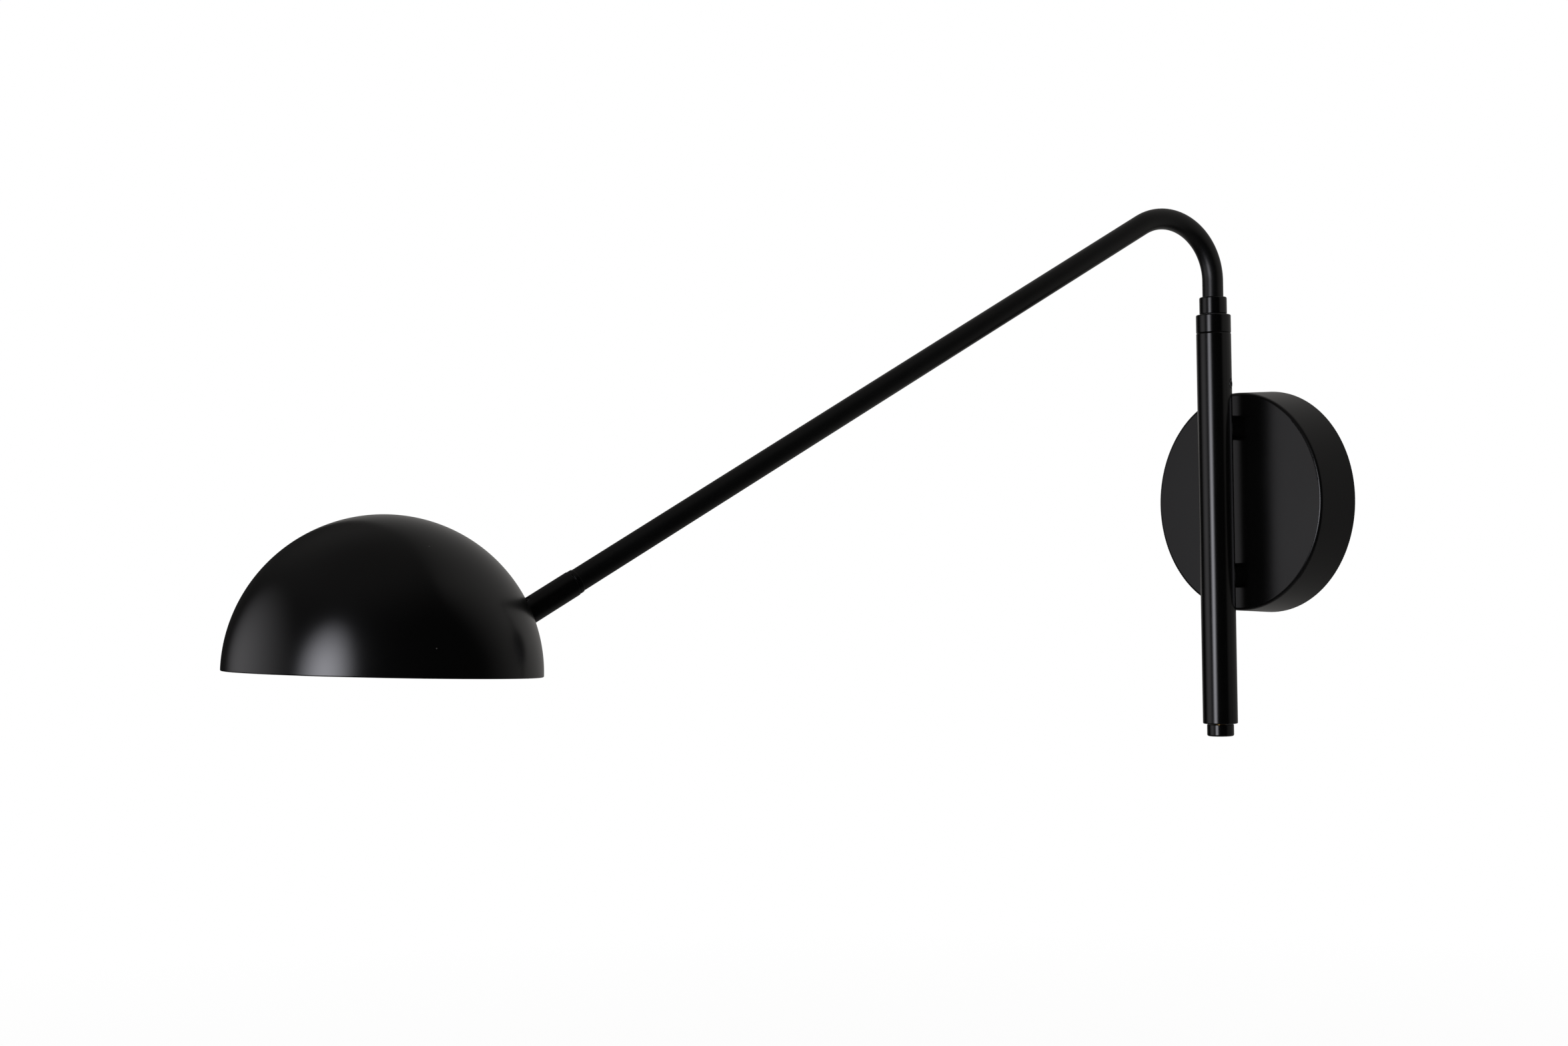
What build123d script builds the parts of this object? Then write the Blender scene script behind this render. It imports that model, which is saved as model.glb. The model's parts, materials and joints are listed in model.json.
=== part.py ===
from build123d import *
import os
from math import asin, cos, degrees, radians, sin, sqrt, tan

# A swing-arm wall lamp. A round canopy covers the wall box. Two short stand-offs carry an
# upright post in front of it. A bent arm turns in the top of the post and slopes down and out
# to a half-round metal shade, which turns about the arm on a sleeve. A rotary switch sits in
# the foot of the post. All sizes are in millimetres.
#
# Origin: centre of the canopy, on the wall plane. +Z is up, -Y points away from the wall,
# +X is to the right for someone who looks at the wall.

# ---- driving dimensions -------------------------------------------------------------------

# canopy and the bracket behind it
CANOPY_FACE_D = 127.0        # diameter of the front face
CANOPY_DRAFT = 1.5           # how much the radius grows towards the wall
CANOPY_DEPTH = 27.0
CANOPY_WALL = 1.5
CANOPY_EDGE_R = 2.0          # rounding of the front edge
BRACKET_W = 16.0
BRACKET_T = 2.0
BRACKET_BEND_R = 2.5         # radius of the bends, on the middle of the strip
BRACKET_EAR = 13.0           # depth of the bent ears
BRACKET_HOLE_D = 10.4        # middle hole, for the house wires
SLOT_SPACING = 86.1          # middle to middle, so that 83.3 and 88.9 mm boxes both fit
SLOT_W = 4.5
SLOT_LENGTH = 9.0
CANOPY_SCREW_D = 4.0
CANOPY_SCREW_LENGTH = 8.0
CANOPY_SCREW_DEPTH = 8.0     # distance of the two side screws from the wall
GROUND_SCREW_D = 4.0
GROUND_SCREW_Z = 18.0

# terminal block on the bracket
BLOCK_W = 14.0
BLOCK_T = 13.0
BLOCK_H = 24.0
BLOCK_TOP = -8.0             # height of its upper end
BLOCK_WAY_D = 3.2            # wire holes
BLOCK_WAYS = 3
BLOCK_WAY_UP = 3.9           # wire holes above the bracket
BLOCK_LEAD_UP = 9.75         # where the lamp's own lead leaves the block, above the bracket
BLOCK_EDGE_R = 1.0
BLOCK_SCREW_D = 3.0

# post and stand-offs
POST_D = 20.0
POST_WALL = 1.5
POST_TOP = 97.5
POST_BOTTOM = -128.4
POST_GAP = 7.2               # clear space between the canopy face and the post
STANDOFF_D = 14.5
STANDOFF_Z = 43.0            # height of each stand-off above and below the origin
NIPPLE_D = 8.0               # threaded tube that holds each stand-off
NIPPLE_BORE_D = 5.6
NIPPLE_TAIL = 5.5            # length inside the canopy
NUT_WIDTH = 13.0             # across the flats
NUT_T = 3.6
TOOTH_WASHER_D = 14.0
TOOTH_WASHER_T = 0.8
TOOTH_COUNT = 12
TOOTH_NOTCH_DEPTH = 0.8
TOOTH_NOTCH_W = 1.2
WIRE_HOLE_D = 6.0            # hole in the post behind the upper stand-off

# swivel in the top of the post
BUSH_HEAD_H = 10.66
BUSH_SHANK = 39.5
BUSH_EDGE_R = 0.7
POST_EDGE_R = 0.65           # rounding of the post's ends and of the bush's head above it
JOINT_EDGE_R = 0.35          # rounding at the ferrule's foot and at the knob's upper edge
POST_SCREW_Z = 67.8
POST_SCREW_ANGLE = 27.0      # from +X towards the wall
POST_SCREW_D = 5.0
POST_SCREW_LENGTH = 3.2
POST_SCREW_SINK = 0.1        # screw's outer end below the post's skin
SCREW_MOUTH = 0.7            # chamfer at the mouth of a set screw hole
THRUST_WASHER_D = 14.4
THRUST_WASHER_T = 0.6
SPRING_WASHER_D = 15.4
SPRING_WASHER_T = 0.5
SPRING_WASHER_DISH = 0.6
CLIP_D = 15.6
CLIP_T = 1.0
CLIP_GROOVE_DEPTH = 0.7
CLIP_OPENING = 70.0          # angle of the opening in the clip
SPINDLE_END = 1.4            # spindle below the clip
STOP_PIN_D = 3.0
STOP_PIN_REACH = 1.9         # how far the pin stands out of the spindle
SWING_EACH_WAY = 80.0        # from straight out of the wall
STOP_PLAY = 1.0              # extra angle before the pin meets its stop

# arm
ARM_D = 12.0
ARM_WALL = 1.0
FERRULE_D = 15.75
FERRULE_H = 9.63
FERRULE_EDGE_R = 0.8
ARM_RISE = 9.5               # straight tube between the ferrule and the bend
ARM_BEND_R = 34.1            # on the tube's middle line
ARM_SLOPE = 29.3             # of the long run, below level
ARM_RUN = 404.7              # straight tube after the bend
SWING_AT_REST = -7.5         # towards -X from straight out
SPINDLE_PLUG = 16.0          # length pressed into the arm
LEAD_BORE_D = 5.6            # way for the lead through spindle, stem and sleeve

# swivel at the shade
STEM_PLUG = 18.0
RING_D = 12.8
RING_H = 2.3
RING_EDGE_R = 0.25
STEM_D = 8.0
SLEEVE_GAP = 0.35
SLEEVE_D = 13.25
SLEEVE_EDGE_R = 0.3
SLEEVE_LENGTH = 31.2         # on the arm's line, from the ring to the shade
SLEEVE_SCREW_D = 5.0
SLEEVE_SCREW_LENGTH = 2.25
SLEEVE_SCREW_SINK = 0.8      # screw's outer end below the sleeve's skin
SLEEVE_SCREW_BACK = 4.4      # from the shade back to the screw
SLEEVE_SCREW_ANGLE = -13.0   # from the top of the sleeve towards the open side
STEM_GROOVE_DEPTH = 0.6
SHADE_TURN_EACH_WAY = 90.0   # the stem's groove stops the screw at both ends
STEM_AFTER_GROOVE = 0.9
TAIL_D = 10.0                # threaded tail of the sleeve, inside the shade
TAIL_ROOT = 4.0              # tail inside the sleeve's body
TAIL_END = 1.5               # tail past its nut
TAIL_NUT_WIDTH = 14.0        # across the flats
TAIL_NUT_T = 3.6
GROMMET_D = 9.0
GROMMET_LIP = 1.2
GROMMET_SPIGOT = 4.0
GROMMET_EDGE_R = 0.4

# shade and lamp
SHADE_R = 76.2
SHADE_WALL = 1.5
SHADE_RIM_R = 0.6
SHADE_OFFSET = 12.0          # the shade's middle lies this far above the arm's line
SHADE_TILT = 2.5             # front edge up
SADDLE_D = 16.0
SADDLE_T = 2.9               # at its middle
HOLDER_STRIP_T = 1.5
HOLDER_STRIP_W = 14.0
HOLDER_STRIP_TAIL = 8.0      # strip below the sleeve's line
HOLDER_STRIP_RISE = 25.0     # strip above the sleeve's line
HOLDER_STRIP_BEND_R = 4.0
HOLDER_STRIP_Z = 61.0        # height of the level end over the rim
HOLDER_STRIP_BACK = 15.0     # level end behind the shade's middle
HOLDER_D = 20.0
HOLDER_H = 18.5
HOLDER_EDGE_R = 1.0
HOLDER_SCREW_D = 3.0
HOLDER_SCREW_SPACING = 11.0
HOLDER_SCREW_LENGTH = 8.0
LEAD_SOCKET_UP = 11.5        # lead's socket above the holder's lower face
LEAD_SOCKET_DEPTH = 5.0
PIN_SPACING = 9.0
PIN_D = 1.6
PIN_LENGTH = 7.0
BULB_BASE_W = 15.0
BULB_BASE_T = 8.0
BULB_BASE_H = 7.0
BULB_BASE_EDGE_R = 2.0
BULB_D = 15.0
BULB_WALL = 0.8
BULB_LENGTH = 27.0
BULB_TIP_R = 6.75            # rounding of the glass's closed end

# switch in the foot of the post
PLUG_H = 8.0
PLUG_RECESS = 0.6
PLUG_SINK = 3.0              # recess for the switch nut
SWITCH_D = 15.0
SWITCH_H = 26.0
SWITCH_EDGE_R = 1.0
SWITCH_NECK_D = 8.0
SWITCH_NUT_WIDTH = 11.0
SWITCH_NUT_T = 2.0
KNOB_D = 15.4
KNOB_H = 6.7
KNOB_GAP = 0.5
KNOB_EDGE_R = 1.0
KNOB_SKIN = 1.6              # knob material under the shaft
SHAFT_D = 6.0
SHAFT_FLAT = 1.2             # depth of the flat
SHAFT_IN_SWITCH = 7.0

# leads
LEAD_D = 3.6
LEAD_SHIFT = 3.2             # each lead's offset from the post's middle line

# screws
HEAD_RATIO = 1.8             # head diameter over thread diameter
HEAD_H_RATIO = 0.5
HEAD_ROUND_RATIO = 0.6       # rounding of a head over its height
CROSS_REACH_RATIO = 1.1      # length of the cross slot over thread diameter
CROSS_W_RATIO = 0.22         # width of the cross slot over thread diameter
SOCKET_RATIO = 0.5           # hexagon socket, across flats, over thread diameter
TIP_RATIO = 0.12             # chamfer at a screw's tip over thread diameter

# ---- clearances ---------------------------------------------------------------------------

FIT = 0.03                   # radial gap of pressed, brazed and screwed joints
RUN_FIT = 0.06               # radial gap of a shaft that turns
FACE_GAP = 0.05              # between flat faces that turn on each other
HOLE_PLAY = 0.2              # radial play of a screw or tube in a plain hole
BRACKET_PLAY = 0.4           # between the bracket's ears and the canopy
SINK_PLAY = 0.5              # round the switch nut's corners in the plug
LEAD_GAP = 0.3               # between the ends of a lead that is split at a swivel
BEND_SHARE = 0.45            # largest share of a lead's run that one of its bends takes
CUT = 5.0                    # how far a cutter reaches past what it cuts

# ---- places worked out from the sizes -----------------------------------------------------

POST_Y = -(CANOPY_DEPTH + POST_GAP + POST_D / 2)
POST_BORE_R = POST_D / 2 - POST_WALL
BUSH_TOP = POST_TOP + BUSH_HEAD_H
BUSH_BOTTOM = POST_TOP - BUSH_SHANK
BUSH_R = POST_BORE_R - FIT
SWING_FACE = BUSH_TOP + THRUST_WASHER_T + FACE_GAP
FERRULE_TOP = SWING_FACE + FERRULE_H
BEND_START = FERRULE_TOP + ARM_RISE
ARM_BORE_R = ARM_D / 2 - ARM_WALL
CLIP_TOP = BUSH_BOTTOM - SPRING_WASHER_T - SPRING_WASHER_DISH - FACE_GAP
SPINDLE_BOTTOM = CLIP_TOP - CLIP_T - SPINDLE_END

RING_TOP = ARM_RUN
SLEEVE_TOP = RING_TOP + RING_H + SLEEVE_GAP
SHADE_ENTRY = SLEEVE_TOP + SLEEVE_LENGTH
SHADE_FOOT = SHADE_ENTRY + sqrt(SHADE_R**2 - SHADE_OFFSET**2)
SHADE_INNER_R = SHADE_R - SHADE_WALL
INNER_ENTRY = SHADE_FOOT - sqrt(SHADE_INNER_R**2 - SHADE_OFFSET**2)
SADDLE_FLAT = INNER_ENTRY + SADDLE_T
TAIL_NUT = SADDLE_FLAT + HOLDER_STRIP_T
TAIL_BOTTOM = TAIL_NUT + TAIL_NUT_T + TAIL_END
SLEEVE_SCREW_S = SHADE_ENTRY - SLEEVE_SCREW_BACK
GROOVE_HALF = SLEEVE_SCREW_D / 2 + HOLE_PLAY
STEM_BOTTOM = SLEEVE_SCREW_S + GROOVE_HALF + STEM_AFTER_GROOVE

PLUG_BOTTOM = POST_BOTTOM + PLUG_RECESS
PLUG_TOP = PLUG_BOTTOM + PLUG_H
SWITCH_TOP = PLUG_TOP + SWITCH_H
KNOB_TOP = POST_BOTTOM - KNOB_GAP
KNOB_BOTTOM = KNOB_TOP - KNOB_H

# The frames that pieces are made in. Each is written for an upright piece on the Z axis.
post_frame = Pos(0, POST_Y, 0)
arm_frame = post_frame * Rot(0, 0, SWING_AT_REST)

# the arm's middle line, in the arm's frame: up, round the bend, then down and out along -Y
BEND_TURN = 90 + ARM_SLOPE
bend_end = Vector(
    0,
    -ARM_BEND_R * (1 + sin(radians(ARM_SLOPE))),
    BEND_START + ARM_BEND_R * cos(radians(ARM_SLOPE)),
)
run_direction = Vector(0, -cos(radians(ARM_SLOPE)), -sin(radians(ARM_SLOPE)))
run_up = Vector(0, -sin(radians(ARM_SLOPE)), cos(radians(ARM_SLOPE)))
bend_corner = Vector(0, 0, BEND_START + ARM_BEND_R * tan(radians(BEND_TURN / 2)))

# pieces on the arm's long run: height is the distance along the run, +X is its upper side
run_frame = arm_frame * Location(Plane(origin=bend_end, x_dir=run_up, z_dir=run_direction))

# pieces in the shade: origin at the middle of the rim, +X outwards, +Z through the crown
shade_middle = bend_end + run_direction * SHADE_FOOT + run_up * SHADE_OFFSET
shade_out = Vector(0, -cos(radians(SHADE_TILT)), sin(radians(SHADE_TILT)))
shade_up = Vector(0, sin(radians(SHADE_TILT)), cos(radians(SHADE_TILT)))
shade_frame = arm_frame * Location(Plane(origin=shade_middle, x_dir=shade_out, z_dir=shade_up))


# ---- helpers ------------------------------------------------------------------------------

UPRIGHT = (Align.CENTER, Align.CENTER, Align.MIN)
TO_FRONT = Rot(90, 0, 0)     # turns an upright piece so that its top points away from the wall


def rod(diameter, low, high):
    """Upright cylinder between two heights."""
    return Pos(0, 0, low) * Cylinder(diameter / 2, high - low, align=UPRIGHT)


def pipe(outer_d, inner_d, low, high):
    """Upright tube between two heights."""
    return rod(outer_d, low, high) - rod(inner_d, low - CUT, high + CUT)


def hex_rod(width, low, high):
    """Upright hexagonal bar, its width measured across the flats."""
    outline = RegularPolygon(width / 2, 6, major_radius=False)
    return Pos(0, 0, low) * extrude(outline, high - low)


def turned(*outline):
    """Body turned about Z from an outline of (radius, height) points."""
    wire = Polyline(*[(radius, 0, height) for radius, height in outline], close=True)
    return revolve(make_face(wire), Axis.Z)


def round_ends(shape, radius, ends=(0, -1)):
    """Rounds the outer edges at the lower (0) and upper (-1) end of an upright body."""
    for end in ends:
        edges = shape.edges().filter_by(GeomType.CIRCLE).group_by(Axis.Z)[end]
        shape = fillet(edges.sort_by(SortBy.RADIUS)[-1], radius)
    return shape


def bent_strip(points, thickness, width, bend_radius):
    """Flat strip bent along a line in the XZ plane, its width across that plane."""
    line = FilletPolyline(*points, radius=bend_radius)
    outline = trace(line, line_width=thickness)
    return extrude(Plane.XZ * outline, width / 2, both=True)


def set_screw(diameter, length):
    """Headless screw with a hexagon socket, its top at height 0 and its tip below."""
    screw = rod(diameter, -length, 0)
    tip = screw.edges().group_by(Axis.Z)[0]
    screw = chamfer(tip, diameter * TIP_RATIO)
    return screw - hex_rod(diameter * SOCKET_RATIO, -length / 2, CUT)


def headed_screw(diameter, length):
    """Screw with a round head on top of height 0 and a cross slot in it."""
    head_h = diameter * HEAD_H_RATIO
    head = rod(diameter * HEAD_RATIO, 0, head_h)
    head = round_ends(head, head_h * HEAD_ROUND_RATIO, (-1,))
    slot = Box(diameter * CROSS_REACH_RATIO, diameter * CROSS_W_RATIO, head_h)
    slot = Pos(0, 0, head_h) * slot
    return head + rod(diameter, -length, 0) - slot - Rot(0, 0, 90) * slot


def plain_nut(width, bore_d, low, high):
    """Hexagon nut."""
    return hex_rod(width, low, high) - rod(bore_d, low - CUT, high + CUT)


def screw_hole(diameter, length):
    """Cutter for a set screw hole: a straight hole with a chamfered mouth at height 0."""
    mouth = turned(
        (0, CUT),
        (diameter / 2 + SCREW_MOUTH + CUT, CUT),
        (diameter / 2, -SCREW_MOUTH),
        (0, -SCREW_MOUTH),
    )
    return rod(diameter, -length, CUT) + mouth


def bend_radii(points):
    """Bend at each corner of a lead: its share of the shorter run over tan(turn / 2)."""
    radii = []
    for before, corner, after in zip(points, points[1:], points[2:]):
        run_in = Vector(*corner) - Vector(*before)
        run_out = Vector(*after) - Vector(*corner)
        half_turn = radians(run_in.get_angle(run_out) / 2)
        radii.append(BEND_SHARE * min(run_in.length, run_out.length) / tan(half_turn))
    return radii


def swept(diameter, line):
    """Round bar along a line."""
    return sweep(Plane(origin=line @ 0, z_dir=line % 0) * Circle(diameter / 2), path=line)


def lead(name, points, radii=None):
    """Round lead along straight runs joined by arcs, and a note of its size."""
    radii = radii or bend_radii(points)
    line = FilletPolyline(*points, radius=radii)
    solid = swept(LEAD_D, line)
    print(name, "length", round(line.length, 1), "radii", [round(r, 1) for r in radii])
    return solid


# ---- canopy group -------------------------------------------------------------------------

def canopy_radius(depth):
    """Outer radius of the canopy at a distance from the wall."""
    return CANOPY_FACE_D / 2 + CANOPY_DRAFT * (1 - depth / CANOPY_DEPTH)


def make_canopy():
    """Drawn steel cup, open to the wall, with two stand-off holes and two side holes."""
    outside = turned(
        (0, 0),
        (canopy_radius(0), 0),
        (canopy_radius(CANOPY_DEPTH), CANOPY_DEPTH),
        (0, CANOPY_DEPTH),
    )
    outside = round_ends(outside, CANOPY_EDGE_R, (-1,))
    floor = CANOPY_DEPTH - CANOPY_WALL
    inside = turned(
        (0, -CUT),
        (canopy_radius(-CUT) - CANOPY_WALL, -CUT),
        (canopy_radius(floor) - CANOPY_WALL, floor),
        (0, floor),
    )
    inside = round_ends(inside, CANOPY_EDGE_R / 2, (-1,))
    cup = TO_FRONT * (outside - inside)
    for side in (1, -1):
        nipple_hole = rod(NIPPLE_D + 2 * HOLE_PLAY, 0, CANOPY_DEPTH + CUT)
        cup -= Pos(0, 0, side * STANDOFF_Z) * TO_FRONT * nipple_hole
        screw = rod(CANOPY_SCREW_D + 2 * FIT, bracket_half() - CUT, canopy_radius(0) + CUT)
        cup -= canopy_screw_place(side) * screw
    return cup


def canopy_screw_place(side):
    """Frame of the upper (1) or lower (-1) side screw, its Z axis out of the canopy."""
    return Pos(0, -CANOPY_SCREW_DEPTH, 0) * Rot(0 if side > 0 else 180, 0, 0)


def make_canopy_screws():
    """The two set screws that hold the canopy on the bracket's ears."""
    flush = canopy_radius(CANOPY_SCREW_DEPTH) - BRACKET_PLAY
    screw = Pos(0, 0, flush) * set_screw(CANOPY_SCREW_D, CANOPY_SCREW_LENGTH)
    return Compound(children=[canopy_screw_place(side) * screw for side in (1, -1)])


def bracket_half():
    """Height of the bracket's ears, so that their corners stay inside the canopy."""
    tightest = canopy_radius(BRACKET_EAR) - CANOPY_WALL - BRACKET_PLAY
    return sqrt(tightest**2 - (BRACKET_W / 2) ** 2)


def make_bracket():
    """Steel strap against the wall with bent ears, slots for the wall box and a wire hole."""
    half = bracket_half() - BRACKET_T / 2
    back = BRACKET_T / 2
    line = [(BRACKET_EAR, -half), (back, -half), (back, half), (BRACKET_EAR, half)]
    strap = Rot(0, 0, -90) * bent_strip(line, BRACKET_T, BRACKET_W, BRACKET_BEND_R)
    strap -= TO_FRONT * rod(BRACKET_HOLE_D, -CUT, BRACKET_T + CUT)
    slot = extrude(SlotOverall(SLOT_LENGTH, SLOT_W, rotation=90), CUT, both=True)
    for side in (1, -1):
        strap -= Pos(0, 0, side * SLOT_SPACING / 2) * TO_FRONT * slot
        tapped = rod(CANOPY_SCREW_D + 2 * FIT, 0, canopy_radius(0))
        strap -= canopy_screw_place(side) * tapped
    strap -= Pos(0, 0, GROUND_SCREW_Z) * TO_FRONT * rod(GROUND_SCREW_D + 2 * FIT, -CUT, CUT)
    strap -= block_screw_place() * rod(BLOCK_SCREW_D + 2 * FIT, -CUT, CUT)
    return strap


def make_ground_screw():
    """Earthing screw in the bracket."""
    screw = headed_screw(GROUND_SCREW_D, BRACKET_T)
    return Pos(0, -BRACKET_T, GROUND_SCREW_Z) * TO_FRONT * screw


def block_screw_place():
    """Frame of the terminal block's screw, its origin on the front of the bracket."""
    return Pos(0, -BRACKET_T, BLOCK_TOP - BLOCK_H / 2) * TO_FRONT


def make_terminal_block():
    """Moulded connector block with its wire ways from end to end."""
    block = Box(BLOCK_W, BLOCK_H, BLOCK_T, align=UPRIGHT)
    block = fillet(block.edges().filter_by(Axis.Z), BLOCK_EDGE_R)
    block -= rod(BLOCK_SCREW_D + 2 * HOLE_PLAY, -CUT, BLOCK_T + CUT)
    block -= rod(BLOCK_SCREW_D * HEAD_RATIO + 2 * HOLE_PLAY, BLOCK_T / 2, BLOCK_T + CUT)
    way = Rot(90, 0, 0) * Cylinder(BLOCK_WAY_D / 2, BLOCK_H + CUT)
    step = BLOCK_W / BLOCK_WAYS
    for index in (0, BLOCK_WAYS - 1):
        block -= Pos((index - (BLOCK_WAYS - 1) / 2) * step, 0, BLOCK_WAY_UP) * way
    return block_screw_place() * block


def make_terminal_screw():
    """Screw that holds the terminal block on the bracket."""
    seat = BLOCK_T / 2
    screw = Pos(0, 0, seat) * headed_screw(BLOCK_SCREW_D, seat + BRACKET_T)
    return block_screw_place() * screw


# ---- stand-offs ---------------------------------------------------------------------------

def make_standoff(side):
    """Short tube between canopy and post, its front end shaped to the post."""
    tube = pipe(STANDOFF_D, NIPPLE_D + 2 * FIT, CANOPY_DEPTH, -POST_Y)
    tube = Pos(0, 0, side * STANDOFF_Z) * TO_FRONT * tube
    return tube - post_frame * rod(POST_D + 2 * FIT, -CUT - STANDOFF_Z * 2, CUT + STANDOFF_Z * 2)


def make_nipples():
    """Threaded tubes that draw the stand-offs against the canopy."""
    inner_end = CANOPY_DEPTH - CANOPY_WALL - NIPPLE_TAIL
    outer_end = CANOPY_DEPTH + POST_GAP - HOLE_PLAY
    nipple = TO_FRONT * pipe(NIPPLE_D, NIPPLE_BORE_D, inner_end, outer_end)
    return Compound(children=[Pos(0, 0, side * STANDOFF_Z) * nipple for side in (1, -1)])


def make_tooth_washers():
    """Locking washers with notches round their edge."""
    high = CANOPY_DEPTH - CANOPY_WALL
    washer = pipe(TOOTH_WASHER_D, NIPPLE_D + 2 * HOLE_PLAY, high - TOOTH_WASHER_T, high)
    notch = Box(2 * TOOTH_NOTCH_DEPTH, TOOTH_NOTCH_W, 2 * CUT)
    notch = Pos(TOOTH_WASHER_D / 2, 0, high) * notch
    for index in range(TOOTH_COUNT):
        washer -= Rot(0, 0, index * 360 / TOOTH_COUNT) * notch
    washer = TO_FRONT * washer
    return Compound(children=[Pos(0, 0, side * STANDOFF_Z) * washer for side in (1, -1)])


def make_standoff_nuts():
    """Hexagon nuts on the nipples, inside the canopy."""
    high = CANOPY_DEPTH - CANOPY_WALL - TOOTH_WASHER_T
    nut = TO_FRONT * plain_nut(NUT_WIDTH, NIPPLE_D + 2 * FIT, high - NUT_T, high)
    return Compound(children=[Pos(0, 0, side * STANDOFF_Z) * nut for side in (1, -1)])


# ---- post and its swivel ------------------------------------------------------------------

def post_screw_place():
    """Frame of the post's set screw, its Z axis out of the post and its origin on the skin."""
    place = post_frame * Pos(0, 0, POST_SCREW_Z) * Rot(0, 0, POST_SCREW_ANGLE)
    return place * Pos(POST_D / 2, 0, 0) * Rot(0, 90, 0)


def make_post():
    """Upright steel tube with a wire hole and a screw hole."""
    tube = pipe(POST_D, 2 * POST_BORE_R, POST_BOTTOM, POST_TOP)
    tube = post_frame * round_ends(tube, POST_EDGE_R)
    wire_hole = rod(WIRE_HOLE_D, CANOPY_DEPTH, -POST_Y)
    tube -= Pos(0, 0, STANDOFF_Z) * TO_FRONT * wire_hole
    return tube - post_screw_place() * screw_hole(POST_SCREW_D + 2 * FIT, POST_D / 2)


def make_bush():
    """Top-hat bush: its head is the collar on the post, its shank carries the arm's spindle."""
    head = round_ends(rod(POST_D, POST_TOP, BUSH_TOP), BUSH_EDGE_R, (-1,))
    head = round_ends(head, POST_EDGE_R, (0,))
    bush = head + rod(2 * BUSH_R, BUSH_BOTTOM, POST_TOP)
    bush -= rod(ARM_D + 2 * RUN_FIT, BUSH_BOTTOM - CUT, BUSH_TOP + CUT)
    pin_angle = degrees(asin((STOP_PIN_D / 2) / (ARM_D / 2)))
    half = SWING_EACH_WAY + pin_angle + STOP_PLAY
    notch_top = stop_pin_height() + STOP_PIN_D / 2 + HOLE_PLAY
    window = Polyline(
        (ARM_D / 4, 0, BUSH_BOTTOM - CUT),
        (POST_D / 2, 0, BUSH_BOTTOM - CUT),
        (POST_D / 2, 0, notch_top),
        (ARM_D / 4, 0, notch_top),
        close=True,
    )
    notch = revolve(make_face(window), Axis.Z, revolution_arc=2 * half)
    bush -= Rot(0, 0, -90 - half) * notch
    return post_frame * bush - post_screw_place() * rod(POST_SCREW_D + 2 * FIT, -POST_D / 2, 0)


def make_post_screw():
    """Set screw that locks the bush in the post."""
    return post_screw_place() * Pos(0, 0, -POST_SCREW_SINK) * set_screw(
        POST_SCREW_D, POST_SCREW_LENGTH
    )


def make_thrust_washer():
    """Thin plastic washer that the arm's ferrule turns on."""
    bore = ARM_D + 2 * HOLE_PLAY
    return post_frame * pipe(THRUST_WASHER_D, bore, BUSH_TOP, BUSH_TOP + THRUST_WASHER_T)


def stop_pin_height():
    """Height of the stop pin, just above the lower end of the bush."""
    return BUSH_BOTTOM + STOP_PIN_D / 2 + 2 * HOLE_PLAY


def make_spindle():
    """Turned steel spindle, pressed into the arm, with a clip groove and a bore for the lead."""
    plug_r = ARM_BORE_R - FIT
    groove_r = ARM_D / 2 - CLIP_GROOVE_DEPTH
    bore_r = LEAD_BORE_D / 2
    spindle = turned(
        (bore_r, SPINDLE_BOTTOM),
        (ARM_D / 2, SPINDLE_BOTTOM),
        (ARM_D / 2, CLIP_TOP - CLIP_T),
        (groove_r, CLIP_TOP - CLIP_T),
        (groove_r, CLIP_TOP),
        (ARM_D / 2, CLIP_TOP),
        (ARM_D / 2, SWING_FACE),
        (plug_r, SWING_FACE),
        (plug_r, SWING_FACE + SPINDLE_PLUG),
        (bore_r, SWING_FACE + SPINDLE_PLUG),
    )
    pin_hole = Pos(0, 0, stop_pin_height()) * TO_FRONT * rod(STOP_PIN_D + 2 * FIT, 0, ARM_D)
    return arm_frame * (spindle - pin_hole)


def make_stop_pin():
    """Pin that stands out of the spindle and runs in the bush's notch."""
    pin = rod(STOP_PIN_D, LEAD_BORE_D / 2 + HOLE_PLAY, ARM_D / 2 + STOP_PIN_REACH)
    return arm_frame * Pos(0, 0, stop_pin_height()) * TO_FRONT * pin


def make_spring_washer():
    """Dished washer under the bush that gives the arm its friction."""
    inner_r = ARM_D / 2 + HOLE_PLAY
    outer_r = SPRING_WASHER_D / 2
    top = BUSH_BOTTOM - FACE_GAP
    washer = turned(
        (inner_r, top - SPRING_WASHER_DISH - SPRING_WASHER_T + FACE_GAP),
        (outer_r, top - SPRING_WASHER_T),
        (outer_r, top),
        (inner_r, top - SPRING_WASHER_DISH + FACE_GAP),
    )
    return arm_frame * washer


def make_clip():
    """Open retaining ring in the spindle's groove."""
    groove_d = ARM_D - 2 * CLIP_GROOVE_DEPTH + 2 * FIT
    ring = pipe(CLIP_D, groove_d, CLIP_TOP - CLIP_T + FIT, CLIP_TOP - FIT)
    half = radians(CLIP_OPENING / 2)
    reach = CLIP_D
    wedge = make_face(
        Polyline(
            (0, 0),
            (reach * cos(half), -reach * sin(half)),
            (reach * cos(half), reach * sin(half)),
            close=True,
        )
    )
    ring -= Pos(0, 0, CLIP_TOP - CLIP_T - CUT) * extrude(wedge, CLIP_T + 2 * CUT)
    return arm_frame * ring


# ---- arm ----------------------------------------------------------------------------------

def arm_line(start, end):
    """Middle line of the arm from a height on the upright part to a distance on the run."""
    return FilletPolyline(
        Vector(0, 0, start), bend_corner, bend_end + run_direction * end, radius=ARM_BEND_R
    )


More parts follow.
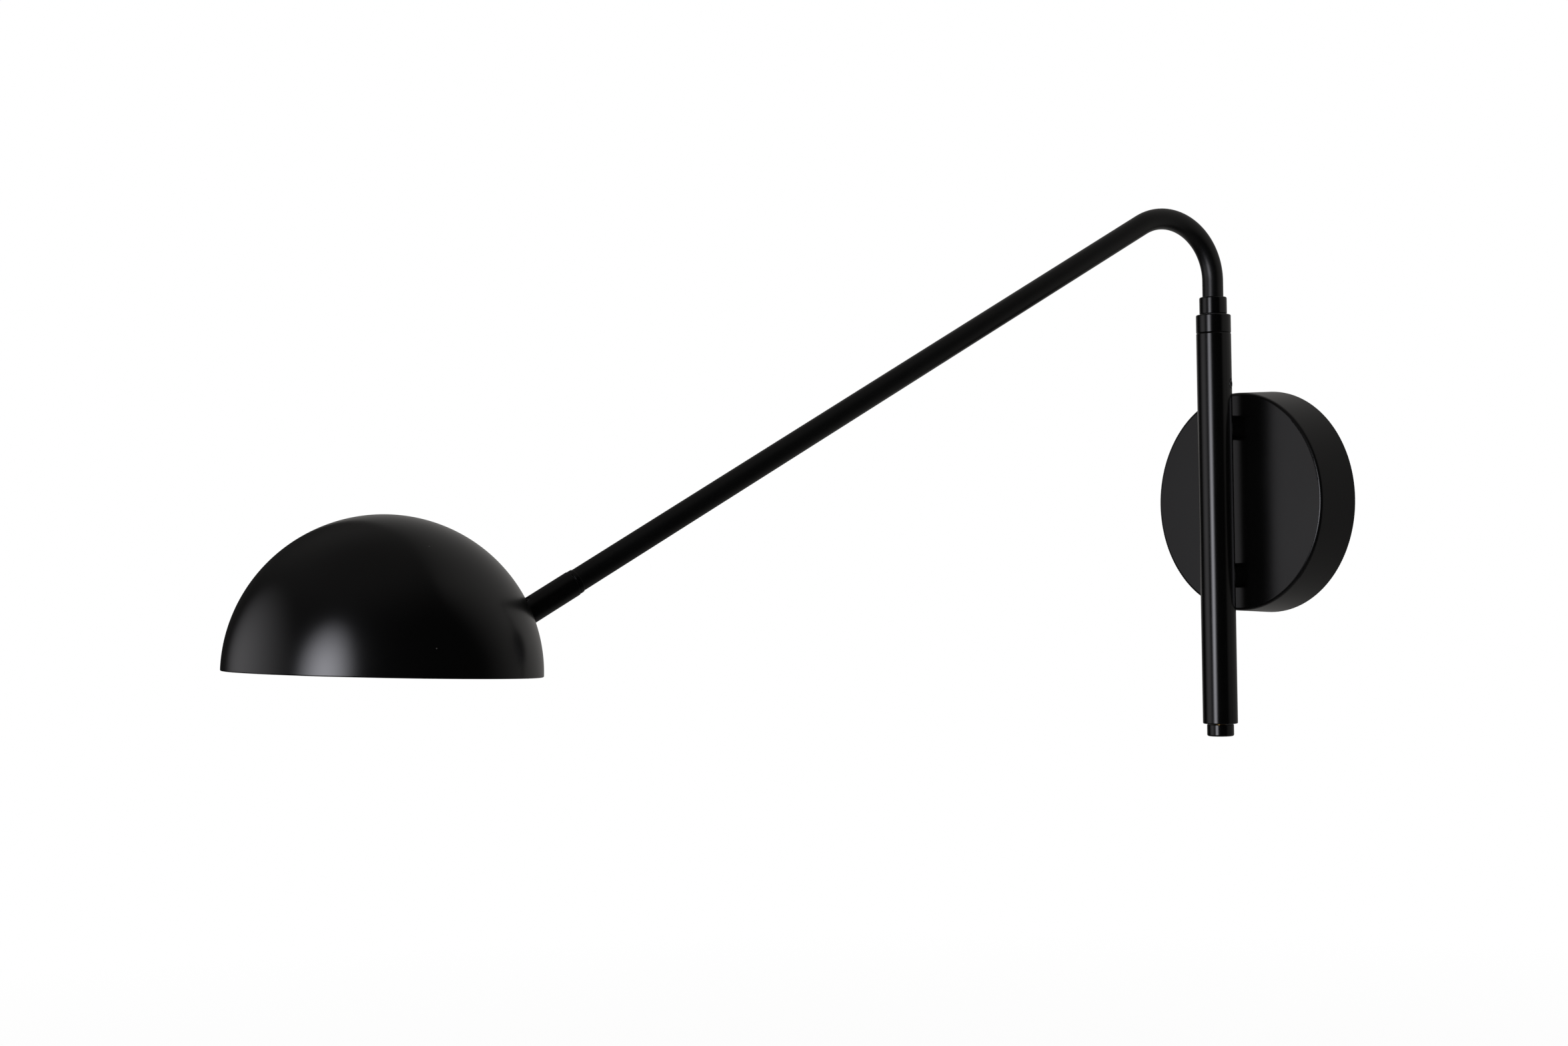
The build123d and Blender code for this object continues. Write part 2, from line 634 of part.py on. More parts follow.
def make_arm():
    """One steel tube: a short upright part, the bend and the long sloping run."""
    outside = swept(ARM_D, arm_line(SWING_FACE, ARM_RUN))
    inside = swept(2 * ARM_BORE_R, arm_line(SWING_FACE - CUT, ARM_RUN + CUT))
    return arm_frame * (outside - inside)


def make_ferrule():
    """Collar brazed on the foot of the arm."""
    ferrule = pipe(FERRULE_D, ARM_D + 2 * FIT, SWING_FACE, FERRULE_TOP)
    ferrule = round_ends(ferrule, FERRULE_EDGE_R, (-1,))
    return arm_frame * round_ends(ferrule, JOINT_EDGE_R, (0,))


def make_stem():
    """Turned stem in the end of the arm: plug, ring and the journal that the sleeve turns on."""
    ring = round_ends(rod(RING_D, RING_TOP, RING_TOP + RING_H), RING_EDGE_R)
    plug = rod(2 * (ARM_BORE_R - FIT), RING_TOP - STEM_PLUG, RING_TOP)
    journal = rod(STEM_D, RING_TOP, STEM_BOTTOM)
    bore = rod(LEAD_BORE_D, RING_TOP - STEM_PLUG - CUT, STEM_BOTTOM + CUT)
    return run_frame * (plug + ring + journal - stem_groove() - bore)


def stem_groove():
    """Cutter for the groove part of the way round the journal, where the screw's tip runs."""
    tip_angle = degrees(asin((SLEEVE_SCREW_D / 2) / (STEM_D / 2)))
    half = SHADE_TURN_EACH_WAY + tip_angle + STOP_PLAY
    groove_r = STEM_D / 2 - STEM_GROOVE_DEPTH
    section = Polyline(
        (groove_r, 0, SLEEVE_SCREW_S - GROOVE_HALF),
        (SLEEVE_D / 2, 0, SLEEVE_SCREW_S - GROOVE_HALF),
        (SLEEVE_D / 2, 0, SLEEVE_SCREW_S + GROOVE_HALF),
        (groove_r, 0, SLEEVE_SCREW_S + GROOVE_HALF),
        close=True,
    )
    groove = revolve(make_face(section), Axis.Z, revolution_arc=2 * half)
    return Rot(0, 0, SLEEVE_SCREW_ANGLE - half) * groove


# ---- shade and its sleeve -----------------------------------------------------------------

def sleeve_screw_place():
    """Frame of the sleeve's set screw, its Z axis out of the sleeve, its origin on the skin."""
    place = run_frame * Pos(0, 0, SLEEVE_SCREW_S) * Rot(0, 0, SLEEVE_SCREW_ANGLE)
    return place * Pos(SLEEVE_D / 2, 0, 0) * Rot(0, 90, 0)


def make_sleeve():
    """Sleeve on the stem, its end shaped to the shade, with a threaded tail through it."""
    body = round_ends(rod(SLEEVE_D, SLEEVE_TOP, SHADE_FOOT), SLEEVE_EDGE_R, (0,))
    body = run_frame * body - shade_frame * Sphere(SHADE_R + FIT)
    sleeve = body + run_frame * rod(TAIL_D, SHADE_ENTRY - TAIL_ROOT, TAIL_BOTTOM)
    bore_end = STEM_BOTTOM + HOLE_PLAY
    sleeve -= run_frame * rod(STEM_D + 2 * RUN_FIT, SLEEVE_TOP - CUT, bore_end)
    sleeve -= run_frame * rod(LEAD_BORE_D, SLEEVE_TOP, TAIL_BOTTOM + CUT)
    return sleeve - sleeve_screw_place() * screw_hole(SLEEVE_SCREW_D + 2 * FIT, SLEEVE_D / 2)


def make_sleeve_screw():
    """Set screw whose tip runs in the stem's groove and keeps the sleeve on the arm."""
    return sleeve_screw_place() * Pos(0, 0, -SLEEVE_SCREW_SINK) * set_screw(
        SLEEVE_SCREW_D, SLEEVE_SCREW_LENGTH
    )


def make_shade():
    """Spun steel half sphere, open below, with a hole for the sleeve's tail."""
    dome = Sphere(SHADE_R, arc_size1=0, align=Align.NONE) - Sphere(SHADE_INNER_R)
    rim = dome.edges().group_by(Axis.Z)[0].filter_by(GeomType.CIRCLE)
    dome = fillet(rim, SHADE_RIM_R)
    tail_hole = run_frame * rod(TAIL_D + 2 * HOLE_PLAY, SHADE_ENTRY - CUT, SHADE_FOOT)
    return shade_frame * dome - tail_hole


def make_saddle():
    """Washer inside the shade: round-backed to fit the wall, flat for the strip and nut."""
    washer = pipe(SADDLE_D, TAIL_D + 2 * HOLE_PLAY, SHADE_ENTRY - CUT, SADDLE_FLAT)
    return (run_frame * washer) & (shade_frame * Sphere(SHADE_INNER_R - FIT))


def make_tail_nut():
    """Nut on the sleeve's tail that clamps shade, saddle and strip."""
    nut = plain_nut(TAIL_NUT_WIDTH, TAIL_D + 2 * FIT, TAIL_NUT, TAIL_NUT + TAIL_NUT_T)
    return run_frame * nut


def make_grommet():
    """Plastic grommet in the end of the tail, where the lead comes out."""
    bore_d = LEAD_D + HOLE_PLAY
    lip = pipe(GROMMET_D, bore_d, TAIL_BOTTOM, TAIL_BOTTOM + GROMMET_LIP)
    lip = round_ends(lip, GROMMET_EDGE_R, (-1,))
    spigot = pipe(LEAD_BORE_D - 2 * FIT, bore_d, TAIL_BOTTOM - GROMMET_SPIGOT, TAIL_BOTTOM)
    return run_frame * (lip + spigot)


def strip_points():
    """Middle line of the holder strip in the shade's frame, as (out, up) points."""
    angle = radians(ARM_SLOPE + SHADE_TILT)
    out, up = (cos(angle), -sin(angle)), (sin(angle), cos(angle))
    back = SADDLE_FLAT + HOLDER_STRIP_T / 2 - SHADE_FOOT
    pad = [out[axis] * back - up[axis] * SHADE_OFFSET for axis in (0, 1)]
    low = tuple(pad[axis] - up[axis] * HOLDER_STRIP_TAIL for axis in (0, 1))
    high = tuple(pad[axis] + up[axis] * HOLDER_STRIP_RISE for axis in (0, 1))
    level_end = (-HOLDER_STRIP_BACK, HOLDER_STRIP_Z), (HOLDER_D / 2, HOLDER_STRIP_Z)
    return [low, high, *level_end]


def make_holder_strip():
    """Bent strip from the sleeve's nut to the crown, where the lamp holder hangs."""
    strip = bent_strip(strip_points(), HOLDER_STRIP_T, HOLDER_STRIP_W, HOLDER_STRIP_BEND_R)
    strip = shade_frame * strip
    strip -= run_frame * rod(TAIL_D + 2 * HOLE_PLAY, SADDLE_FLAT - CUT, TAIL_NUT + CUT)
    for side in (1, -1):
        strip -= holder_screw_place(side) * rod(HOLDER_SCREW_D + 2 * HOLE_PLAY, -CUT, CUT)
    return strip


def holder_screw_place(side):
    """Frame of a holder screw, its origin on top of the strip."""
    top = HOLDER_STRIP_Z + HOLDER_STRIP_T / 2
    return shade_frame * Pos(0, side * HOLDER_SCREW_SPACING / 2, top)


def holder_bottom():
    """Height of the lamp holder's lower face over the rim."""
    return HOLDER_STRIP_Z - HOLDER_STRIP_T / 2 - HOLDER_H


def pin_places():
    """The two places of the bulb's pins under the holder."""
    return [Pos(side * PIN_SPACING / 2, 0, holder_bottom()) for side in (1, -1)]


def make_holder():
    """Ceramic lamp holder with two pin sockets and two screw holes."""
    low = holder_bottom()
    holder = round_ends(rod(HOLDER_D, low, low + HOLDER_H), HOLDER_EDGE_R)
    for place in pin_places():
        holder -= place * rod(PIN_D + 2 * HOLE_PLAY, -CUT, PIN_LENGTH + HOLE_PLAY)
    holder = shade_frame * holder
    for side in (1, -1):
        depth = HOLDER_SCREW_LENGTH + HOLE_PLAY
        holder -= holder_screw_place(side) * rod(HOLDER_SCREW_D + 2 * FIT, -depth, CUT)
    return holder - lead_socket()


def lead_socket():
    """Blind hole in the side of the holder where the lead goes in."""
    hole = rod(LEAD_D + 2 * HOLE_PLAY, HOLDER_D / 2 - LEAD_SOCKET_DEPTH, HOLDER_D)
    return shade_frame * Pos(0, 0, lead_socket_height()) * Rot(0, -90, 0) * hole


def lead_socket_height():
    """Height of the lead's socket over the rim."""
    return holder_bottom() + LEAD_SOCKET_UP


def make_holder_screws():
    """Screws that hold the lamp holder under the strip."""
    screw = headed_screw(HOLDER_SCREW_D, HOLDER_SCREW_LENGTH)
    return Compound(children=[holder_screw_place(side) * screw for side in (1, -1)])


def make_bulb_base():
    """Base of the capsule bulb with its two pins."""
    high = holder_bottom() - HOLE_PLAY
    base = Box(BULB_BASE_W, BULB_BASE_T, BULB_BASE_H, align=UPRIGHT)
    base = Pos(0, 0, high - BULB_BASE_H) * base
    base = fillet(base.edges().filter_by(Axis.Z), BULB_BASE_EDGE_R)
    for place in pin_places():
        base += place * rod(PIN_D, -HOLE_PLAY - BULB_BASE_H / 2, PIN_LENGTH)
    return shade_frame * base


def make_bulb_glass():
    """Hollow glass capsule of the bulb, seated on its base."""
    high = holder_bottom() - HOLE_PLAY - BULB_BASE_H
    low = high - BULB_LENGTH
    outside = round_ends(rod(BULB_D, low, high), BULB_TIP_R, (0,))
    inner_d = BULB_D - 2 * BULB_WALL
    inside = rod(inner_d, low + BULB_WALL, high - BULB_WALL)
    inside = round_ends(inside, BULB_TIP_R - BULB_WALL, (0,))
    return shade_frame * (outside - inside)


# ---- switch -------------------------------------------------------------------------------

def make_end_plug():
    """Turned plug in the foot of the post that holds the switch."""
    plug = pipe(2 * (POST_BORE_R - FIT), SWITCH_NECK_D + 2 * FIT, PLUG_BOTTOM, PLUG_TOP)
    nut_corners = SWITCH_NUT_WIDTH / cos(radians(30))
    sink = rod(nut_corners + 2 * SINK_PLAY, PLUG_BOTTOM - CUT, PLUG_BOTTOM + PLUG_SINK)
    return post_frame * (plug - sink)


def make_switch():
    """Rotary switch: a round case over the plug and a threaded neck through it."""
    case = round_ends(rod(SWITCH_D, PLUG_TOP, SWITCH_TOP), SWITCH_EDGE_R, (-1,))
    neck = rod(SWITCH_NECK_D, PLUG_BOTTOM, PLUG_TOP)
    bore_top = PLUG_TOP + SHAFT_IN_SWITCH + HOLE_PLAY
    return post_frame * (case + neck - rod(SHAFT_D + 2 * RUN_FIT, PLUG_BOTTOM - CUT, bore_top))


def make_switch_nut():
    """Thin nut that clamps the switch in the plug."""
    high = PLUG_BOTTOM + PLUG_SINK
    nut = plain_nut(SWITCH_NUT_WIDTH, SWITCH_NECK_D + 2 * FIT, high - SWITCH_NUT_T, high)
    return post_frame * nut


def d_shaft(diameter, flat, low, high):
    """Round shaft with one flat side."""
    side = Pos(diameter / 2 - flat, 0, low - CUT) * Box(
        diameter, diameter * 2, high - low + 2 * CUT, align=(Align.MIN, Align.CENTER, Align.MIN)
    )
    return rod(diameter, low, high) - side


def make_shaft():
    """Switch shaft, round in the neck and flat on one side in the knob."""
    round_part = rod(SHAFT_D, KNOB_TOP + HOLE_PLAY, PLUG_TOP + SHAFT_IN_SWITCH)
    flat_part = d_shaft(SHAFT_D, SHAFT_FLAT, KNOB_BOTTOM + KNOB_SKIN, KNOB_TOP + HOLE_PLAY)
    return post_frame * (round_part + flat_part)


def make_knob():
    """Plain round knob under the post."""
    knob = round_ends(rod(KNOB_D, KNOB_BOTTOM, KNOB_TOP), KNOB_EDGE_R, (0,))
    knob = round_ends(knob, JOINT_EDGE_R, (-1,))
    hole = d_shaft(SHAFT_D + 2 * FIT, SHAFT_FLAT, KNOB_BOTTOM + KNOB_SKIN, KNOB_TOP + CUT)
    return post_frame * (knob - hole)


# ---- leads --------------------------------------------------------------------------------

def make_feed_lead():
    """From the terminal block through the upper stand-off and down the post to the switch."""
    start_y = -(BRACKET_T + BLOCK_LEAD_UP)
    points = [
        (0, start_y, BLOCK_TOP),
        (0, start_y, STANDOFF_Z),
        (0, POST_Y + POST_BORE_R, STANDOFF_Z),
        (-LEAD_SHIFT, POST_Y, STANDOFF_Z - LEAD_D),
        (-LEAD_SHIFT, POST_Y, SWITCH_TOP),
    ]
    return lead("feed_lead", points)


def make_post_lead():
    """From the switch up the post to the swing axis, where the arm's lead goes on."""
    swing_end = SPINDLE_BOTTOM - LEAD_GAP
    points = [
        (LEAD_SHIFT, POST_Y, SWITCH_TOP),
        (LEAD_SHIFT, POST_Y, STANDOFF_Z - LEAD_D),
        (0, POST_Y, STANDOFF_Z + LEAD_D),
        (0, POST_Y, swing_end),
    ]
    return lead("post_lead", points)


def make_arm_lead():
    """Along the middle of the arm, from the foot of its spindle to the end of its stem."""
    points = [
        Vector(0, 0, SPINDLE_BOTTOM),
        bend_corner,
        bend_end + run_direction * STEM_BOTTOM,
    ]
    return arm_frame * lead("arm_lead", points, [ARM_BEND_R])


def make_shade_lead():
    """From the sleeve's bore round under the nut and up into the lamp holder."""
    socket_z = lead_socket_height()
    angle = radians(ARM_SLOPE + SHADE_TILT)

    def on_run(distance):
        back = distance - SHADE_FOOT
        return (
            cos(angle) * back - sin(angle) * SHADE_OFFSET,
            0,
            -sin(angle) * back - cos(angle) * SHADE_OFFSET,
        )

    # the two free points behind the holder are chosen by hand, clear of strip and wall
    entry_x = -HOLDER_D / 2
    points = [
        on_run(STEM_BOTTOM + LEAD_GAP),
        on_run(TAIL_BOTTOM + 10),
        (entry_x - 16, 0, socket_z - 20),
        (entry_x - 14, 0, socket_z),
        (entry_x + LEAD_SOCKET_DEPTH - HOLE_PLAY, 0, socket_z),
    ]
    return shade_frame * lead("shade_lead", points)


# ---- all pieces ---------------------------------------------------------------------------

pieces = {
    "mounting_bracket": make_bracket(),
    "ground_screw": make_ground_screw(),
    "terminal_block": make_terminal_block(),
    "terminal_screw": make_terminal_screw(),
    "canopy": make_canopy(),
    "canopy_screws": make_canopy_screws(),
    "standoff_upper": make_standoff(1),
    "standoff_lower": make_standoff(-1),
    "standoff_nipples": make_nipples(),
    "tooth_washers": make_tooth_washers(),
    "standoff_nuts": make_standoff_nuts(),
    "post_tube": make_post(),
    "post_bush": make_bush(),
    "post_set_screw": make_post_screw(),
    "thrust_washer": make_thrust_washer(),
    "end_plug": make_end_plug(),
    "switch_case": make_switch(),
    "switch_nut": make_switch_nut(),
    "feed_lead": make_feed_lead(),
    "post_lead": make_post_lead(),
    "switch_knob": make_knob(),
    "switch_shaft": make_shaft(),
    "arm_tube": make_arm(),
    "arm_ferrule": make_ferrule(),
    "arm_spindle": make_spindle(),
    "stop_pin": make_stop_pin(),
    "spring_washer": make_spring_washer(),
    "retaining_clip": make_clip(),
    "swivel_stem": make_stem(),
    "arm_lead": make_arm_lead(),
    "shade_sleeve": make_sleeve(),
    "sleeve_set_screw": make_sleeve_screw(),
    "dome_shade": make_shade(),
    "saddle_washer": make_saddle(),
    "tail_nut": make_tail_nut(),
    "tail_grommet": make_grommet(),
    "holder_strip": make_holder_strip(),
    "lamp_holder": make_holder(),
    "holder_screws": make_holder_screws(),
    "bulb_base": make_bulb_base(),
    "bulb_glass": make_bulb_glass(),
    "shade_lead": make_shade_lead(),
}

os.makedirs("parts", exist_ok=True)
for name, shape in pieces.items():
    export_step(shape, f"parts/{name}.step")
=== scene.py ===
# %% [markdown]
# # A swing-arm wall lamp
# The lamp is black powder-coated steel: a round canopy on the wall, an upright post held off it,
# a bent arm that swings in the top of the post, and a half-round shade on the arm's end.
# The construction is already made to size in the frame. This lesson gives it its surfaces, and
# makes new ones where a finer skin or a second finish is needed. It all stays in one frame, in
# metres: +Z is up, -Y points away from the wall, and the origin is on the wall.

# %% Load the frame
import json
import bmesh
import bpy
import numpy as np
from mathutils import Matrix


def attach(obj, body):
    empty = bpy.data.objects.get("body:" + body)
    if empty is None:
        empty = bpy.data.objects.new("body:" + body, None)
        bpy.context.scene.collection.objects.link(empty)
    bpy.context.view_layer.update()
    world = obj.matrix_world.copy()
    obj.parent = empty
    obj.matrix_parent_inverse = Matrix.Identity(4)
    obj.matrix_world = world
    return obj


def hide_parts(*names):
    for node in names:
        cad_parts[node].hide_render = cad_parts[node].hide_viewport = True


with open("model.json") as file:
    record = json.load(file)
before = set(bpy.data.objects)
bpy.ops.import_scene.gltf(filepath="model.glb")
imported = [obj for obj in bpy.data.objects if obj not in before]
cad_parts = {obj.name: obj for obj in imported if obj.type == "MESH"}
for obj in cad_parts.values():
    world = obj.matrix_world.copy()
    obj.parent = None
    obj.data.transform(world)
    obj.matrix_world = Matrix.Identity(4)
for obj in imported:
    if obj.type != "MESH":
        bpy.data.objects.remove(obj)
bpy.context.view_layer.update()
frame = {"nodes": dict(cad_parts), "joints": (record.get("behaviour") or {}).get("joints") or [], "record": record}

MM = 0.001
nodes = frame["nodes"]
joints = {joint["name"]: joint for joint in frame["joints"]}
print("pieces in the frame:", len(nodes), "joints:", sorted(joints))

# %% [markdown]
# ## Small helpers
# Colours are easiest to choose as the hex values of a colour picker, but a shader works in linear
# light, so one function turns the first into the second. Another adds a node with its settings
# and links in a single call, which keeps each material as short as its recipe. All opaque recipes
# end alike, with a gloss that varies a little, a slight relief, and the shader.

# %% Helpers for colours and nodes
def linear(hex_colour):
    """sRGB hex to linear RGBA: c / 12.92 for dark values, else ((c + 0.055) / 1.055) to the 2.4."""
    value = np.array([int(hex_colour[at:at + 2], 16) for at in (1, 3, 5)]) / 255
    light = np.where(value <= 0.04045, value / 12.92, ((value + 0.055) / 1.055) ** 2.4)
    return (*light.tolist(), 1.0)


def per_metre(millimetres):
    """Texture scale whose pattern repeats about every so many millimetres."""
    return 1 / (millimetres * MM)


def add(tree, kind, inputs=None, **settings):
    """Adds a node. An input is a value, or an output socket to link from."""
    node = tree.nodes.new(kind)
    for name, value in settings.items():
        setattr(node, name, value)
    for name, value in (inputs or {}).items():
        if isinstance(value, bpy.types.NodeSocket):
            tree.links.new(value, node.inputs[name])
        else:
            node.inputs[name].default_value = value
    return node


def blank_material(name):
    """A new material with an empty node tree."""
    material = bpy.data.materials.new(name)
    material.use_nodes = True
    material.node_tree.nodes.clear()
    return material


NOISE_LOW, NOISE_HIGH = 0.3, 0.7     # nearly all of a noise lies between these


def finish(tree, colour, rough, spread, unevenness, relief, depth_mm, optics):
    """Ends a recipe: roughness is rough plus or minus spread as the unevenness goes from low to
    high, height is the relief times its depth, and optics tells metal from plastic or ceramic."""
    gloss = add(tree, "ShaderNodeMapRange", {
        "Value": unevenness,
        "From Min": NOISE_LOW,
        "From Max": NOISE_HIGH,
        "To Min": rough - spread,
        "To Max": rough + spread,
    })
    skin = add(tree, "ShaderNodeBump", {
        "Height": relief,
        "Distance": depth_mm * MM,
        "Strength": 1.0,
    })
    shader = add(tree, "ShaderNodeBsdfPrincipled", {
        "Base Color": colour,
        "Roughness": gloss.outputs["Result"],
        "Normal": skin.outputs["Normal"],
        **optics,
    })
    add(tree, "ShaderNodeOutputMaterial", {"Surface": shader.outputs["BSDF"]})


def shows_white(tree):
    """1 for rays of the camera, of mirrors and of glass, which see the white studio, else 0."""
    rays = add(tree, "ShaderNodeLightPath").outputs
    seen_or_mirrored = add(tree, "ShaderNodeMath", {
        0: rays["Is Camera Ray"],
        1: rays["Is Glossy Ray"],
    }, operation="MAXIMUM")
    return add(tree, "ShaderNodeMath", {
        0: seen_or_mirrored.outputs[0],
        1: rays["Is Transmission Ray"],
    }, operation="MAXIMUM").outputs[0]


def placed(across, upward, back, place):
    """Matrix of an object from its three axes and its place."""
    columns = np.eye(4)
    columns[:3] = np.stack([across, upward, back, place], -1)
    return Matrix(columns.tolist())


print("mid grey #808080 is", round(linear("#808080")[0], 4), "in linear light")

# %% [markdown]
# ## Black powder coat
# The visible steel is powder coated: plastic dust is baked into a skin about 0.08 mm thick. It
# melts and flows, so the skin is smooth, with a swell of a few thousandths of a millimetre that
# shows only as a slight unsteadiness of the lights in it. The gloss is that of satin paint. A
# Principled shader with the usual index of plastic gives the right strength of mirror, so the
# recipe varies just three things: the black itself, the gloss, and the swell. A few grains of
# dust always bake in, and are seen close up as single pale dots.

# %% Powder coat
CLOUD_MM = 38.0              # patches where the powder lay thicker
SWELL_MM = 5.0               # width of the flow's swell; the finer peel is too small to show
SWELL_DEPTH_MM = 0.006
DUST_SPACING_MM = 19.0
DUST_SIZE = 0.010            # radius of a dot over the spacing
DUST_COLOUR = "#3a3937"
COAT_SPREAD = 0.015          # how much the gloss varies
COAT_INDEX = 1.5


def powder_coat(name, dark, light, rough):
    """Baked powder: two near blacks in clouds, uneven gloss, a slight swell and a little dust."""
    material = blank_material(name)
    tree = material.node_tree
    place = add(tree, "ShaderNodeTexCoord").outputs["Object"]
    cloud = add(tree, "ShaderNodeTexNoise", {
        "Vector": place,
        "Scale": per_metre(CLOUD_MM),
        "Detail": 3.0,
    })
    grains = add(tree, "ShaderNodeTexVoronoi", {
        "Vector": place,
        "Scale": per_metre(DUST_SPACING_MM),
    })
    dust = add(tree, "ShaderNodeMapRange", {
        "Value": grains.outputs["Distance"],
        "From Min": DUST_SIZE,
        "From Max": 2 * DUST_SIZE,
        "To Min": 1.0,
        "To Max": 0.0,
    })
    black = add(tree, "ShaderNodeMix", {
        0: cloud.outputs["Fac"],
        6: linear(dark),
        7: linear(light),
    }, data_type="RGBA")
    colour = add(tree, "ShaderNodeMix", {
        0: dust.outputs["Result"],
        6: black.outputs[2],
        7: linear(DUST_COLOUR),
    }, data_type="RGBA")
    swell = add(tree, "ShaderNodeTexNoise", {
        "Vector": place,
        "Scale": per_metre(SWELL_MM),
        "Detail": 1.0,
    })
    finish(
        tree, colour.outputs[2], rough, COAT_SPREAD, cloud.outputs["Fac"],
        swell.outputs["Fac"], SWELL_DEPTH_MM, {"IOR": COAT_INDEX},
    )
    return material


materials = {
    # satin black on the drawn cup, whose flat face mirrors the post as a soft dark band
    "black_canopy": powder_coat("powder_coat_canopy", "#030303", "#050505", 0.255),
    # the same powder on the post's tube
    "black_post": powder_coat("powder_coat_post", "#030303", "#050505", 0.190),
    # the bent tube, where the powder flows a little less evenly
    "black_arm": powder_coat("powder_coat_arm", "#030303", "#050505", 0.360),
    # small turned fittings, whose edges catch the lights as thin lines
    "black_fittings": powder_coat("powder_coat_fittings", "#030303", "#050505", 0.190),
    # the spun shade, outside
    "shade_enamel": powder_coat("powder_coat_shade", "#030303", "#050505", 0.205),
}
print("powder coats:", sorted(materials))

# %% [markdown]
# ## Bare metals
# Inside canopy, post and shade there are plain stock parts. Zinc plate is pale and slightly
# cloudy, and turned steel and brass carry fine rings from the lathe. All are bare metal, so the
# colour is that of the mirror itself and the index stays as it is.

# %% Metals
METAL_SPREAD = 0.06
METAL_RELIEF_MM = 0.004
LATHE_SQUEEZE = (1, 1, 12)   # rings lie close along the axis
NO_SQUEEZE = (1, 1, 1)


def bare_metal(name, dark, light, rough, grain_mm, squeeze):
    """Metal with fine marks of its making: a pattern squeezed along one direction."""
    material = blank_material(name)
    tree = material.node_tree
    place = add(tree, "ShaderNodeTexCoord").outputs["Object"]
    squeezed = add(tree, "ShaderNodeMapping", {"Vector": place, "Scale": squeeze})
    marks = add(tree, "ShaderNodeTexNoise", {
        "Vector": squeezed.outputs["Vector"],
        "Scale": per_metre(grain_mm),
        "Detail": 2.0,
    })
    colour = add(tree, "ShaderNodeMix", {
        0: marks.outputs["Fac"],
        6: linear(dark),
        7: linear(light),
    }, data_type="RGBA")
    finish(
        tree, colour.outputs[2], rough, METAL_SPREAD, marks.outputs["Fac"],
        marks.outputs["Fac"], METAL_RELIEF_MM, {"Metallic": 1.0},
    )
    return material


metals = {
    # bright zinc plate with its bluish clouds
    "zinc_steel": bare_metal("zinc_plated_steel", "#b0b4b8", "#d2d6d9", 0.34, 3.0, NO_SQUEEZE),
    # steel from the lathe, with its fine rings
    "turned_steel": bare_metal("turned_steel", "#a3a4a6", "#c4c5c7", 0.28, 2.0, LATHE_SQUEEZE),
    # brass from the same lathe
    "turned_brass": bare_metal("turned_brass", "#b98d45", "#d6b06a", 0.30, 2.0, LATHE_SQUEEZE),
}
materials.update(metals)
print("metals:", sorted(metals))

# %% [markdown]
# ## Paint, plastic and ceramic
# Blackened screws are dull, moulded nylon is matt, the leads have a soft vinyl sheath, and the
# lamp holder is unglazed steatite, a gritty off-white ceramic. They share one recipe: a colour
# in two tones, and a grain of the right size in both gloss and height.

# %% Solid stuffs
STUFF_SPREAD = 0.04
PLASTIC_INDEX = 1.5
CERAMIC_INDEX = 1.58


def solid_stuff(name, dark, light, rough, grain_mm, depth_mm, index=PLASTIC_INDEX):
    """A two-tone colour with a fine grain in gloss and height."""
    material = blank_material(name)
    tree = material.node_tree
    place = add(tree, "ShaderNodeTexCoord").outputs["Object"]
    grain = add(tree, "ShaderNodeTexNoise", {
        "Vector": place,
        "Scale": per_metre(grain_mm),
        "Detail": 3.0,
    })
    colour = add(tree, "ShaderNodeMix", {
        0: grain.outputs["Fac"],
        6: linear(dark),
        7: linear(light),
    }, data_type="RGBA")
    finish(
        tree, colour.outputs[2], rough, STUFF_SPREAD, grain.outputs["Fac"],
        grain.outputs["Fac"], depth_mm, {"IOR": index},
    )
    return material


stuffs = {
    # screws blackened in hot oxide: dull, with a trace of the steel's grain
    "black_oxide": solid_stuff("black_oxide_steel", "#121214", "#1d1d20", 0.42, 0.6, 0.004),
    # the green that marks the earthing screw
    "green_screw": solid_stuff("green_lacquered_steel", "#1c5a2b", "#2a7a3c", 0.35, 1.5, 0.004),
    # moulded nylon has the fine matt texture of its mould
    "white_nylon": solid_stuff("moulded_white_nylon", "#d9d6cc", "#e6e3da", 0.48, 1.2, 0.006),
    # the same in black, which hides between bush and arm
    "black_nylon": solid_stuff("moulded_black_nylon", "#161617", "#202021", 0.50, 1.0, 0.006),
    # soft vinyl, drawn through a die, with a slow ripple
    "lead_sheath": solid_stuff("extruded_pvc_sheath", "#19191a", "#232324", 0.45, 1.6, 0.010),
    # pressed and fired stone powder: gritty, and never quite white
    "holder_ceramic": solid_stuff(
        "steatite_ceramic", "#d8d2c3", "#e9e4d8", 0.62, 0.9, 0.02, CERAMIC_INDEX
    ),
    # the same kind of stone, pressed finer, under the bulb
    "bulb_ceramic": solid_stuff(
        "pressed_ceramic", "#d2cdc0", "#e3dfd4", 0.58, 0.8, 0.02, CERAMIC_INDEX
    ),
}
materials.update(stuffs)
# white stoved enamel inside the shade throws the light down
lining = solid_stuff("white_stoved_enamel", "#e6e3dc", "#efede7", 0.36, 2.4, 0.004)
print("solid stuffs:", sorted(stuffs), lining.name)

# %% [markdown]
# ## Etched glass
# The bulb's capsule is glass, etched so that it glows evenly. It is made as clear material that
# lets light through, with a skin rough enough to blur what stands behind it.

# %% Glass
FROST_MM = 0.8
FROST_DEPTH_MM = 0.004
FROST_ROUGH = (0.28, 0.42)   # from the smoothest to the roughest place
GLASS_INDEX = 1.47

